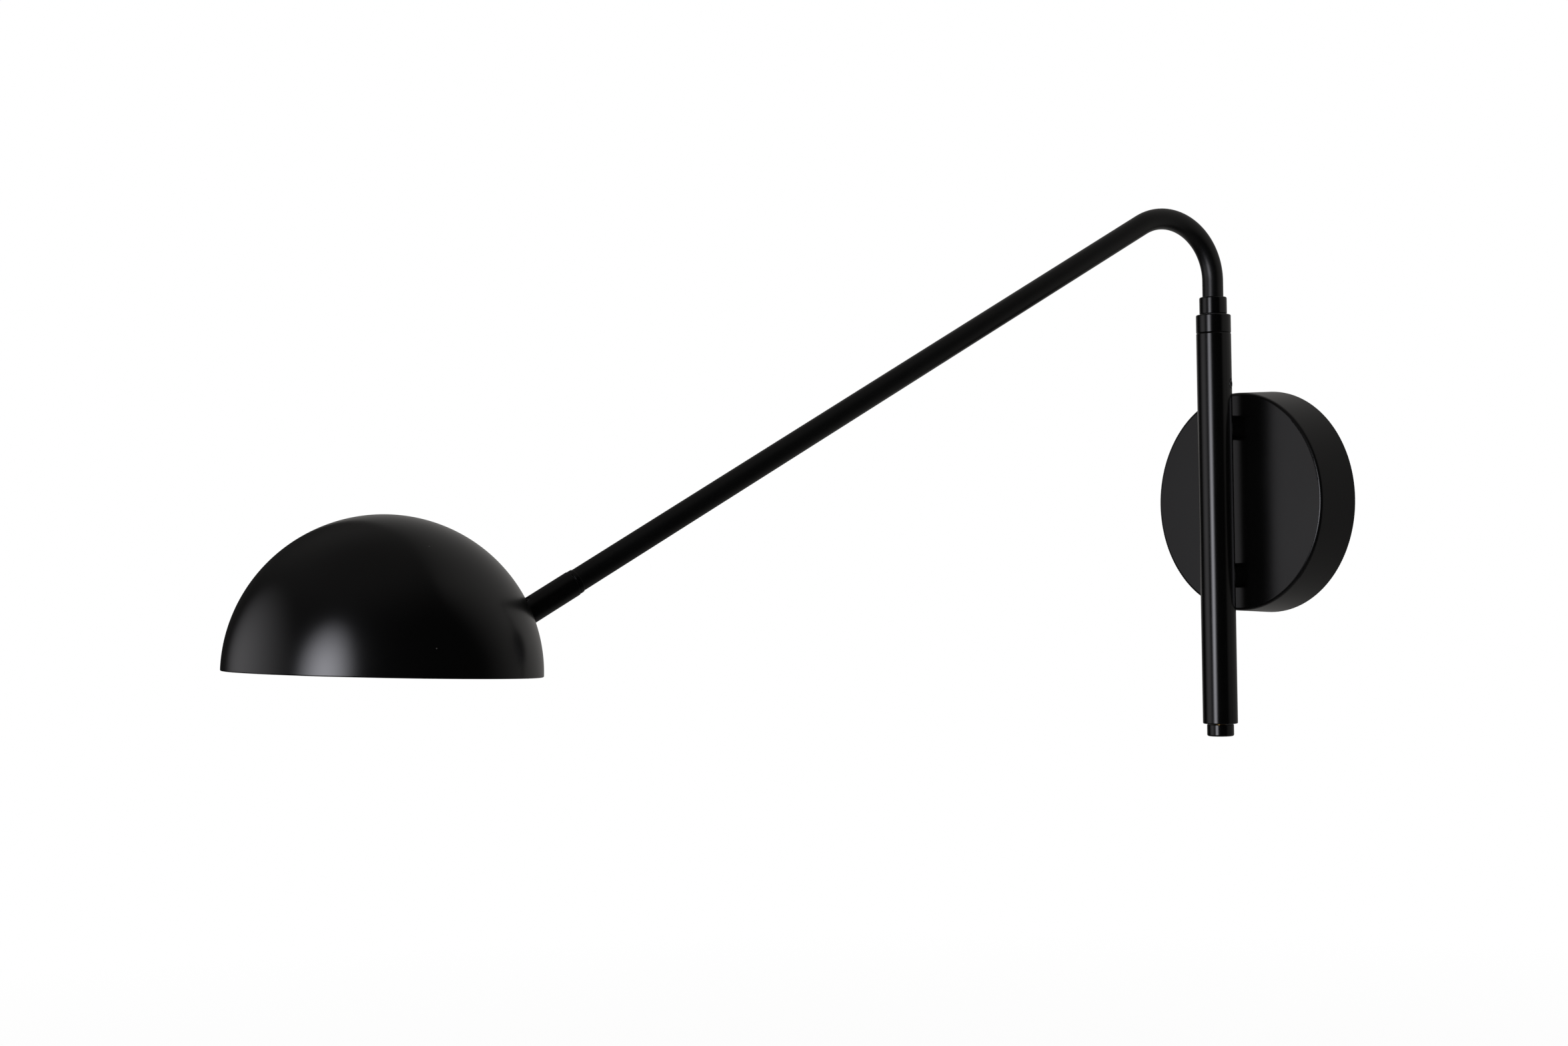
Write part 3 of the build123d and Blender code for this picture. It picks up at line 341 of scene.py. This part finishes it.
frost_glass = blank_material("etched_glass")
glass_tree = frost_glass.node_tree
glass_place = add(glass_tree, "ShaderNodeTexCoord").outputs["Object"]
frost = add(glass_tree, "ShaderNodeTexNoise", {"Vector": glass_place, "Scale": per_metre(FROST_MM)})
haze = add(glass_tree, "ShaderNodeMapRange", {
    "Value": frost.outputs["Fac"],
    "To Min": FROST_ROUGH[0],
    "To Max": FROST_ROUGH[1],
})
frost_skin = add(glass_tree, "ShaderNodeBump", {
    "Height": frost.outputs["Fac"],
    "Distance": FROST_DEPTH_MM * MM,
    "Strength": 1.0,
})
glass_shader = add(glass_tree, "ShaderNodeBsdfPrincipled", {
    "Base Color": linear("#fbfaf6"),
    "Roughness": haze.outputs["Result"],
    "Transmission Weight": 1.0,
    "IOR": GLASS_INDEX,
    "Normal": frost_skin.outputs["Normal"],
})
add(glass_tree, "ShaderNodeOutputMaterial", {"Surface": glass_shader.outputs["BSDF"]})
materials["frosted_glass"] = frost_glass

for part in frame["record"]["subparts"]:
    nodes[part["node"]].material_slots[0].material = materials[part["material_slot"]]

# %% [markdown]
# ## Surfaces from grids
# A pressed or bent part is a surface that two numbers describe, such as the way round and the
# way along. Worked out on a grid as one array, its points come all at once, and the faces are
# just each point with its next neighbours both ways.

# %% Grid to mesh
SHARP_ANGLE = np.radians(50)     # edges that turn by more than this stay crisp
POLE_MERGE = 1e-7                # metres


def grid_piece(name, points, wrap_rows, faces_material=None, surfaces=()):
    """Mesh from points[row, column]. Columns always close on themselves, rows only if asked."""
    rows, columns = points.shape[:2]
    last_row = rows if wrap_rows else rows - 1
    row, column = np.meshgrid(np.arange(last_row), np.arange(columns), indexing="ij")
    next_row, next_column = (row + 1) % rows, (column + 1) % columns
    corners = [(row, column), (row, next_column), (next_row, next_column), (next_row, column)]
    quads = np.stack([r * columns + c for r, c in corners], -1).reshape(-1, 4)
    mesh = bpy.data.meshes.new(name)
    mesh.from_pydata(points.reshape(-1, 3), [], quads)
    if faces_material is not None:
        mesh.polygons.foreach_set("material_index", np.repeat(faces_material, columns))
    mesh.polygons.foreach_set("use_smooth", np.ones(len(quads), bool))
    for surface in surfaces:
        mesh.materials.append(surface)
    mesh.update()
    piece = bpy.data.objects.new(name, mesh)
    bpy.context.scene.collection.objects.link(piece)
    return piece


def enclosed_volume(piece):
    """Signed volume: a sum over triangles of the box product of their corners, over six."""
    mesh = piece.data
    mesh.calc_loop_triangles()
    corner = np.empty(len(mesh.loop_triangles) * 3, np.int32)
    mesh.loop_triangles.foreach_get("vertices", corner)
    place = np.empty(len(mesh.vertices) * 3)
    mesh.vertices.foreach_get("co", place)
    a, b, c = place.reshape(-1, 3)[corner].reshape(-1, 3, 3).transpose(1, 0, 2)
    return float(np.einsum("ij,ij->i", a, np.cross(b, c)).sum() / 6)


def face_outwards(piece):
    """Turns every face round if the piece is inside out, which a negative volume shows."""
    if enclosed_volume(piece) < 0:
        piece.data.flip_normals()
    print(piece.name, "volume", round(enclosed_volume(piece) * 1e6, 2), "ml")


def close_poles(piece):
    """Merges each ring of points that share one place, as at a crown or a disc's middle."""
    work = bmesh.new()
    work.from_mesh(piece.data)
    bmesh.ops.remove_doubles(work, verts=work.verts, dist=POLE_MERGE)
    work.to_mesh(piece.data)
    work.free()


print("edges stay crisp above", round(float(np.degrees(SHARP_ANGLE))), "degrees")

# %% [markdown]
# ## The arm
# The arm is one steel tube, bent cold round a former. Its middle line is a short upright, an arc
# of a little more than a quarter turn, and a long straight run. The joints of the frame say
# where it starts, which way the run points and where it ends, so nothing is placed by eye.

# %% The arm's middle line
ARM_RADIUS = 6.0 * MM
ARM_WALL = 1.0 * MM
ARM_UPRIGHT = 19.13 * MM     # from the swing face to the start of the bend
ARM_BEND = 34.1 * MM
ARM_RUN = 404.7 * MM
UPRIGHT_STEPS, ARC_STEPS, RUN_STEPS = 6, 64, 40
UP = np.array([0.0, 0.0, 1.0])

foot = np.array(joints["arm_swing"]["pos_m"])
ring = np.array(joints["shade_turn"]["pos_m"])
along = np.array(joints["shade_turn"]["axis"])
along /= np.linalg.norm(along)
outward = along * (1, 1, 0)
outward /= np.linalg.norm(outward)
sideways = np.cross(along, UP)
sideways /= np.linalg.norm(sideways)
above = np.cross(sideways, along)
bend_turn = np.pi / 2 + np.arcsin(-along[2])


def arm_line():
    """Points on the middle line and their directions: upright, arc, then the straight run."""
    turn = np.linspace(0, bend_turn, ARC_STEPS)[:, None]
    arc_start = foot + ARM_UPRIGHT * UP
    arc = arc_start + ARM_BEND * ((1 - np.cos(turn)) * outward + np.sin(turn) * UP)
    arc_way = np.sin(turn) * outward + np.cos(turn) * UP
    upright_reach = np.linspace(0, ARM_UPRIGHT, UPRIGHT_STEPS, endpoint=False)
    upright = foot + upright_reach[:, None] * UP
    run = arc[-1] + np.linspace(0, ARM_RUN, RUN_STEPS + 1)[1:, None] * along
    way = [np.tile(UP, (len(upright), 1)), arc_way, np.tile(along, (len(run), 1))]
    return np.vstack([upright, arc, run]), np.vstack(way)


line, line_way = arm_line()
print("arm ends", round(float(np.linalg.norm(line[-1] - ring)) / MM, 3), "mm from its joint")

# %% [markdown]
# The tube is a circle carried along that line, once for the outside and once for the bore.

# %% The arm's tube
ROUND_STEPS = 96
round_angle = np.linspace(0, 2 * np.pi, ROUND_STEPS, endpoint=False)[None, :, None]


def tube_skin(radius):
    """Circle round each point of the line: cosine across it, sine along the bend's axis."""
    across = np.cross(sideways, line_way)[:, None, :]
    circle = np.cos(round_angle) * across + np.sin(round_angle) * sideways
    return line[:, None, :] + radius * circle


# out along the outside and back along the bore, so that one closed skin has both ends
arm_points = np.concatenate([tube_skin(ARM_RADIUS), tube_skin(ARM_RADIUS - ARM_WALL)[::-1]])
arm = grid_piece("arm_skin", arm_points, wrap_rows=True, surfaces=[materials["black_arm"]])
arm.data.set_sharp_from_angle(angle=SHARP_ANGLE)
face_outwards(arm)
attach(arm, "arm")
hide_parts("arm_tube")

# %% [markdown]
# ## The shade
# A shade like this is spun: a disc of sheet steel is pressed over a turning wooden form. Wall
# and gloss are even all round, and the rim is trimmed and rounded. Its section is worked out
# once, from the crown down the outside, round the rim and up the inside, and is then turned
# about its axis. It is black outside and white inside, so the faces of the inner wall get a
# finish of their own, which one slot of the frame can't give.

# %% The shade's place and section
SHADE_RADIUS = 76.2 * MM
SHADE_WALL = 1.5 * MM
SHADE_RIM = 0.6 * MM         # rounding of both edges of the rim
SHADE_LIFT = 12.0 * MM       # middle of the shade above the arm's line
SHADE_TILT = np.radians(2.5)
SHADE_STEPS, RIM_STEPS = 110, 9
SLEEVE_REACH = (2.3 + 0.35 + 31.2) * MM     # ring, gap and sleeve, from the joint to the shade
TAIL_HOLE = 5.2 * MM         # radius of the hole for the sleeve's tail

shade_reach = SLEEVE_REACH + np.sqrt(SHADE_RADIUS**2 - SHADE_LIFT**2)
shade_middle = ring + along * shade_reach + above * SHADE_LIFT
shade_up = np.cos(SHADE_TILT) * UP - np.sin(SHADE_TILT) * outward
shade_out = np.cos(SHADE_TILT) * outward + np.sin(SHADE_TILT) * UP
shade_side = np.cross(shade_up, shade_out)


def arc_section(middle, radius, start, stop, steps):
    """(out, up) points on an arc, its angles measured from level, in degrees."""
    angle = np.radians(np.linspace(start, stop, steps))[:, None]
    return np.array(middle) + radius * np.hstack([np.cos(angle), np.sin(angle)])


def shade_section():
    """Outer arc, outer and inner rounding of the rim, inner arc, and the row where the inside
    starts. Where two arcs meet, their common point is kept once."""
    inner = SHADE_RADIUS - SHADE_WALL
    rim_out = (np.sqrt((SHADE_RADIUS - SHADE_RIM) ** 2 - SHADE_RIM**2), SHADE_RIM)
    rim_in = (np.sqrt((inner + SHADE_RIM) ** 2 - SHADE_RIM**2), SHADE_RIM)
    lean_out = np.degrees(np.arcsin(SHADE_RIM / (SHADE_RADIUS - SHADE_RIM)))
    lean_in = np.degrees(np.arcsin(SHADE_RIM / (inner + SHADE_RIM)))
    parts = [
        arc_section((0, 0), SHADE_RADIUS, 90, lean_out, SHADE_STEPS),
        arc_section(rim_out, SHADE_RIM, lean_out, -90, RIM_STEPS)[1:],
        arc_section(rim_in, SHADE_RIM, -90, -180 + lean_in, RIM_STEPS),
        arc_section((0, 0), inner, lean_in, 90, SHADE_STEPS)[1:],
    ]
    return np.vstack(parts), len(parts[0]) + len(parts[1]) + len(parts[2])


section, inner_start = shade_section()
print("shade middle", np.round(shade_middle / MM, 2), "section points", len(section))

# %% [markdown]
# The section is turned about the shade's axis, and the hole for the sleeve's tail is drilled in
# line with the arm.

# %% The shade's shell
SPIN_STEPS = 240
DRILL_BEFORE = 6.0 * MM      # the drill starts this far before the shade
DRILL_DEPTH = 16.0 * MM
spin = np.linspace(0, 2 * np.pi, SPIN_STEPS, endpoint=False)
spin_way = np.cos(spin)[:, None] * shade_out + np.sin(spin)[:, None] * shade_side
shell_points = (
    shade_middle
    + section[:, None, :1] * spin_way[None, :, :]
    + section[:, None, 1:] * shade_up
)
inside = (np.arange(len(section) - 1) >= inner_start - 1).astype(np.int32)
shade_finishes = [materials["shade_enamel"], lining]
shade = grid_piece("shade_shell", shell_points, False, inside, shade_finishes)
close_poles(shade)
face_outwards(shade)


def drill(piece, start, way, radius, depth):
    """Cuts a round hole through a piece, and keeps the result as its mesh."""
    first = np.cross(way, UP)
    first /= np.linalg.norm(first)
    ring_way = np.cos(round_angle) * first + np.sin(round_angle) * np.cross(way, first)
    reach = np.array([0, 0, depth, depth])[:, None, None]
    size = np.array([0, radius, radius, 0])[:, None, None]
    cutter = grid_piece("drill", start + reach * way + size * ring_way, wrap_rows=False)
    close_poles(cutter)
    cut = piece.modifiers.new("hole", "BOOLEAN")
    cut.operation, cut.solver, cut.object = "DIFFERENCE", "EXACT", cutter
    graph = bpy.context.evaluated_depsgraph_get()
    result = bpy.data.meshes.new_from_object(piece.evaluated_get(graph))
    piece.modifiers.clear()
    piece.data = result
    bpy.data.objects.remove(cutter)


entry = ring + along * (SLEEVE_REACH - DRILL_BEFORE)
drill(shade, entry, along, TAIL_HOLE, DRILL_DEPTH)
shade.data.set_sharp_from_angle(angle=SHARP_ANGLE)
face_outwards(shade)
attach(shade, "shade")
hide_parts("dome_shade")

# %% [markdown]
# ## Soft boxes
# A black glossy thing is seen by what it mirrors. Two upright soft boxes stand to the left of
# the camera, a strong one that leans a little, and a wide weak one further round. They draw the
# two soft upright patches on the shade. A real box has its bulb in the middle and gets dimmer to
# its rim, so its mirror image has no edge. The lamps here do the same, by their own nodes.

# %% Soft boxes
LAMP_MIDDLE = np.array([-0.03, -0.30, -0.02])
BOX_HALF = 0.5               # a box is 1 by 1 in its own measure, its middle at a half


def direction(azimuth, elevation):
    """Unit vector: azimuth 0 is out from the wall and 90 to the right, elevation 90 is up."""
    azimuth, elevation = np.radians(azimuth), np.radians(elevation)
    level = np.stack([np.sin(azimuth), -np.cos(azimuth)], -1) * np.cos(elevation)[..., None]
    return np.concatenate([level, np.sin(elevation)[..., None]], -1)


def soft_box(name, azimuth, elevation, distance, width, tall, lean, radiance, colour):
    """Upright box that faces the lamp. Its power is pi times area times middle radiance, and
    from middle to rim the light falls smoothly to nothing."""
    away = direction(azimuth, elevation)
    level = np.cross(UP, away)
    level /= np.linalg.norm(level)
    lean = np.radians(lean)
    across = np.cos(lean) * level - np.sin(lean) * np.cross(away, level)
    lamp = bpy.data.lights.new(name, "AREA")
    lamp.shape, lamp.size, lamp.size_y = "RECTANGLE", width, tall
    lamp.energy = np.pi * width * tall * radiance
    lamp.color = linear(colour)[:3]
    lamp.use_nodes = True
    tree = lamp.node_tree
    tree.nodes.clear()
    on_box = add(tree, "ShaderNodeNewGeometry").outputs["Parametric"]
    from_bulb = add(tree, "ShaderNodeVectorMath", {
        0: on_box,
        1: (BOX_HALF, BOX_HALF, 0),
    }, operation="DISTANCE")
    fall = add(tree, "ShaderNodeMapRange", {
        "Value": from_bulb.outputs["Value"],
        "From Min": BOX_HALF,
        "From Max": 0.0,
    }, interpolation_type="SMOOTHSTEP")
    glow = add(tree, "ShaderNodeEmission", {"Strength": fall.outputs["Result"]})
    add(tree, "ShaderNodeOutputLight", {"Surface": glow.outputs[0]})
    light = bpy.data.objects.new(name, lamp)
    place = LAMP_MIDDLE + distance * away
    light.matrix_world = placed(across, np.cross(away, across), away, place)
    light.visible_camera = False
    bpy.context.scene.collection.objects.link(light)
    print(name, "at", np.round(place, 2), "with", round(lamp.energy, 2), "W")


soft_box("key_box", 17.5, -2.0, 1.155, 0.85, 1.60, 5.0, 7.5, "#f6f6ff")
soft_box("side_box", -35.1, 0.3, 1.274, 1.95, 1.78, 0.0, 0.87, "#fdfbff")

# %% [markdown]
# ## Backdrop
# The backdrop is white, which the camera sees, and so do mirrors and glass. What it throws on
# the lamp as plain room light is much less, so that a colour comes out as it is written.

# %% Backdrop
BACKDROP_WHITE = 1.0
ROOM_LIGHT = 0.8

world = bpy.data.worlds.new("studio")
world.use_nodes = True
world.node_tree.nodes.clear()
bpy.context.scene.world = world
sky = world.node_tree
strength = add(sky, "ShaderNodeMapRange", {
    "Value": shows_white(sky),
    "To Min": ROOM_LIGHT,
    "To Max": BACKDROP_WHITE,
})
backdrop = add(sky, "ShaderNodeBackground", {
    "Color": linear("#ffffff"),
    "Strength": strength.outputs["Result"],
})
add(sky, "ShaderNodeOutputWorld", {"Surface": backdrop.outputs[0]})
print("backdrop", BACKDROP_WHITE, "room light", ROOM_LIGHT)

# %% [markdown]
# ## Floor
# A plain pale floor lies well below the lamp, so that only the foot of the picture shows it. It
# is matt paint, which keeps the lamp's faint shadow, and most of what is seen of it is the same
# white as the backdrop.
# Towards its rim it goes over into that white, so no edge shows, and from below it is clear, so
# that the underside of the lamp can be looked at.

# %% Floor
FLOOR_HEIGHT = -0.75
FLOOR_RADIUS = 3.5
FLOOR_PLAIN_RADIUS = 0.5     # from here on it fades to the backdrop
FLOOR_WHITE_SHARE = 0.8      # how much of the floor that is seen is backdrop white
FLOOR_RINGS = np.array([0, 0.05, 1])[:, None, None]     # shares of the radius
FLOOR_GRIT_MM = 12.0
floor_way = np.stack([np.cos(spin), np.sin(spin), 0 * spin], -1)
floor_middle = (0.0, float(shade_middle[1]) / 2, FLOOR_HEIGHT)
floor_points = FLOOR_RINGS * FLOOR_RADIUS * floor_way + floor_middle
floor = grid_piece("studio_floor", floor_points, wrap_rows=False)
close_poles(floor)
floor.data.flip_normals()
floor_paint = blank_material("pale_floor_paint")
floor_tree = floor_paint.node_tree
floor_place = add(floor_tree, "ShaderNodeTexCoord").outputs["Object"]
grit = add(floor_tree, "ShaderNodeTexNoise", {
    "Vector": floor_place,
    "Scale": per_metre(FLOOR_GRIT_MM),
})
floor_colour = add(floor_tree, "ShaderNodeMix", {
    0: grit.outputs["Fac"],
    6: linear("#e9e8e6"),
    7: linear("#efeeec"),
}, data_type="RGBA")
matt = add(floor_tree, "ShaderNodeBsdfPrincipled", {
    "Base Color": floor_colour.outputs[2],
    "Roughness": 0.8,
})
white = add(floor_tree, "ShaderNodeEmission", {"Color": linear("#ffffff"), "Strength": 1.0})
from_middle = add(floor_tree, "ShaderNodeVectorMath", {
    0: floor_place,
    1: floor_middle,
}, operation="DISTANCE")
white_share = add(floor_tree, "ShaderNodeMapRange", {
    "Value": from_middle.outputs["Value"],
    "From Min": FLOOR_PLAIN_RADIUS,
    "From Max": FLOOR_RADIUS,
    "To Min": FLOOR_WHITE_SHARE,
    "To Max": 1.0,
})
floor_share = add(floor_tree, "ShaderNodeMath", {
    0: shows_white(floor_tree),
    1: white_share.outputs["Result"],
}, operation="MULTIPLY")
floor_top = add(floor_tree, "ShaderNodeMixShader", {
    0: floor_share.outputs[0],
    1: matt.outputs[0],
    2: white.outputs[0],
})
floor_both = add(floor_tree, "ShaderNodeMixShader", {
    0: add(floor_tree, "ShaderNodeNewGeometry").outputs["Backfacing"],
    1: floor_top.outputs[0],
    2: add(floor_tree, "ShaderNodeBsdfTransparent").outputs[0],
})
add(floor_tree, "ShaderNodeOutputMaterial", {"Surface": floor_both.outputs[0]})
floor.data.materials.append(floor_paint)
floor_up = [face.normal.z for face in floor.data.polygons]
print("floor at", FLOOR_HEIGHT, "m, its faces look up:", min(floor_up) > 0)

# %% [markdown]
# ## Black cloths and a board of painted light
# On a bare white stage a glossy black lamp mirrors white all over and turns grey. A photographer
# hangs black cloth round it, out of view, and leaves grey only where a soft edge is wanted. The
# cloth is one round tent here, with patches of painted light that glow on it a little overhead,
# on the left and low at the wall. High on the left it is open, and there the coat, the metals and
# the glass show the backdrop. The wall itself is a board of painted light: it glows as if the soft
# boxes lit a white wall, goes dark to the right and dimmer towards top and floor, and has the
# canopy's shadow painted on it. Both show in mirrors alone, so they take no light and cast no
# shadow.

# %% Cloth and board
TENT_RADIUS = 1.8
TENT_STEP = 3.0              # degrees
TENT_FLOOR = -0.60           # height
OPENING = (-115.0, 38.0)     # azimuth and elevation of its middle
OPENING_RADIUS = 6.0         # degrees
# azimuth, elevation, radius in degrees, and strength of each patch of painted light
PAINTED_LIGHT_PATCHES = [(-30, 74, 45, 0.09), (-105, 30, 36, 0.028), (180, -60, 45, 0.09)]
# the board's glow is painted light: soft-box light on a white wall, its fall-off to the right, top and foot, and
# the canopy's painted shadow
BOARD_MIDDLE = np.array([-0.3, 0.012, 0.3])
BOARD_RADIUS = 1.3
BOARD_STEPS = 60
BOARD_PAINTED_LIGHT = 0.30            # its painted light where it is brightest, with white as 1
BOARD_PAINTED_LIGHT_UP_TO = -0.15      # metres to the right of the lamp
BOARD_DARK_FROM = 0.57       # metres to the right of the lamp, at the lamp's height
BOARD_LEAN = 0.45            # its edge moves right by this share of the height
BOARD_TOP = 2.6              # height where it would be dark
BOARD_FOOT = -0.55           # height where it would be dark
BOARD_LEAST = 0.4            # share of its painted light that stays below
CANOPY_SHADOW = 0.35         # share of light lost to the canopy's painted shadow close by
CANOPY_SHADOW_MIDDLE = 0.03  # metres to the right of the canopy's middle
CANOPY_SHADOW_REACH = 0.15   # metres from there


def smooth_step(share):
    """0 to 1 with soft ends: three times the square less twice the cube."""
    share = np.clip(share, 0, 1)
    return share * share * (3 - 2 * share)


def angle_from(azimuth, elevation, place):
    """Angle in degrees at the lamp's middle between a direction and each place."""
    way = place - LAMP_MIDDLE
    way /= np.linalg.norm(way, axis=-1, keepdims=True)
    middle = direction(np.array(azimuth), np.array(elevation))
    return np.degrees(np.arccos(np.clip(way @ middle, -1, 1)))


def tent_glow(place):
    """Painted light, the sum of the patches. Each is full inside half its radius, and fades out
    by one and a half.
    """
    glow = np.zeros(len(place))
    for azimuth, elevation, radius, strength in PAINTED_LIGHT_PATCHES:
        glow += strength * smooth_step(1.5 - angle_from(azimuth, elevation, place) / radius)
    return glow


def board_glow(place):
    """Painted light: the brightest times four shares. Across falls softly to the right, high softly
    upwards, low in a straight line towards the foot, and the painted shadow is deepest at the canopy."""
    right, up = place[:, 0], place[:, 2]
    dark_from = BOARD_DARK_FROM + BOARD_LEAN * np.maximum(up, 0)
    across = smooth_step((dark_from - right) / (BOARD_DARK_FROM - BOARD_PAINTED_LIGHT_UP_TO))
    high = smooth_step(1 - np.maximum(up, 0) / BOARD_TOP)
    low = np.clip(1 - up / BOARD_FOOT, BOARD_LEAST, 1)
    from_shadow = np.hypot(right - CANOPY_SHADOW_MIDDLE, up) / CANOPY_SHADOW_REACH
    shadow = 1 - CANOPY_SHADOW * smooth_step(1 - from_shadow)
    return BOARD_PAINTED_LIGHT * across * high * low * shadow


# the cloth's only light is painted: an emission as strong as the glow stored at each point, black where that is
# nought
cloth = blank_material("stage_cloth_painted_light")
cloth_tree = cloth.node_tree
painted_light_share = add(cloth_tree, "ShaderNodeAttribute", attribute_name="glow").outputs["Fac"]
cloth_light = add(cloth_tree, "ShaderNodeEmission", {
    "Color": linear("#fffcf9"),
    "Strength": painted_light_share,
})
add(cloth_tree, "ShaderNodeOutputMaterial", {"Surface": cloth_light.outputs[0]})


def hang(piece, glow_at):
    """Paints light on a cloth by place, and makes it a part of the stage that only mirrors show."""
    place = np.empty(len(piece.data.vertices) * 3)
    piece.data.vertices.foreach_get("co", place)
    glow = glow_at(place.reshape(-1, 3))
    piece.data.attributes.new("glow", "FLOAT", "POINT").data.foreach_set("value", glow)
    piece.data.materials.append(cloth)
    piece.visible_camera = piece.visible_diffuse = piece.visible_transmission = False
    piece.visible_shadow = piece.visible_volume_scatter = False
    print(piece.name, "faces", len(piece.data.polygons), "brightest", round(float(glow.max()), 3))


tent_elevation = np.arange(-90, 90 + TENT_STEP / 2, TENT_STEP)
tent_azimuth = np.arange(-180, 180 - TENT_STEP / 2, TENT_STEP)
tent_points = LAMP_MIDDLE + TENT_RADIUS * direction(*np.meshgrid(tent_azimuth, tent_elevation))
tent_points[..., 2] = np.maximum(tent_points[..., 2], TENT_FLOOR)
tent = grid_piece("black_tent", tent_points, wrap_rows=False)
# a face's middle is the mean of its four corners, in the order in which the faces were made
tent_pairs = tent_points + np.roll(tent_points, -1, axis=1)
face_middles = (tent_pairs[:-1] + tent_pairs[1:]).reshape(-1, 3) / 4
open_faces = np.flatnonzero(angle_from(*OPENING, face_middles) < OPENING_RADIUS)
tent_work = bmesh.new()
tent_work.from_mesh(tent.data)
tent_work.faces.ensure_lookup_table()
bmesh.ops.delete(tent_work, geom=[tent_work.faces[at] for at in open_faces], context="FACES")
tent_work.to_mesh(tent.data)
tent_work.free()
hang(tent, tent_glow)

board_reach = np.linspace(0, BOARD_RADIUS, BOARD_STEPS)[:, None, None]
board_way = np.stack([np.cos(spin), 0 * spin, np.sin(spin)], -1)
board = grid_piece("painted_light_board", BOARD_MIDDLE + board_reach * board_way, wrap_rows=False)
close_poles(board)
hang(board, board_glow)
print("open faces", len(open_faces))

# %% [markdown]
# ## Camera
# The camera stands to the right of the lamp at the height of the canopy, and looks a little up.
# It is also rolled by under a degree, as a camera held on a stand often is.

# %% Camera
CAMERA_PLACE = (0.9701868, -1.0643539, -0.0375677)
CAMERA_YAW = np.radians(53.8212)
CAMERA_PITCH = np.radians(1.1822)
CAMERA_ROLL = np.radians(-0.8015)
SENSOR_MM = 36.0
FOCAL_MM = 54.919

forward = np.array([
    -np.sin(CAMERA_YAW) * np.cos(CAMERA_PITCH),
    np.cos(CAMERA_YAW) * np.cos(CAMERA_PITCH),
    np.sin(CAMERA_PITCH),
])
level_right = np.array([np.cos(CAMERA_YAW), np.sin(CAMERA_YAW), 0.0])
level_up = np.cross(level_right, forward)
right = level_right * np.cos(CAMERA_ROLL) + level_up * np.sin(CAMERA_ROLL)
upward = level_up * np.cos(CAMERA_ROLL) - level_right * np.sin(CAMERA_ROLL)

lens = bpy.data.cameras.new("camera")
lens.sensor_fit = "HORIZONTAL"
lens.sensor_width = SENSOR_MM
lens.lens = FOCAL_MM
camera = bpy.data.objects.new("camera", lens)
camera.matrix_world = placed(right, upward, -forward, CAMERA_PLACE)
bpy.context.scene.collection.objects.link(camera)
bpy.context.scene.camera = camera
bpy.context.scene.view_settings.view_transform = "Standard"
print("camera is", round(float(np.linalg.norm(camera.location)), 3), "m from the wall's middle")
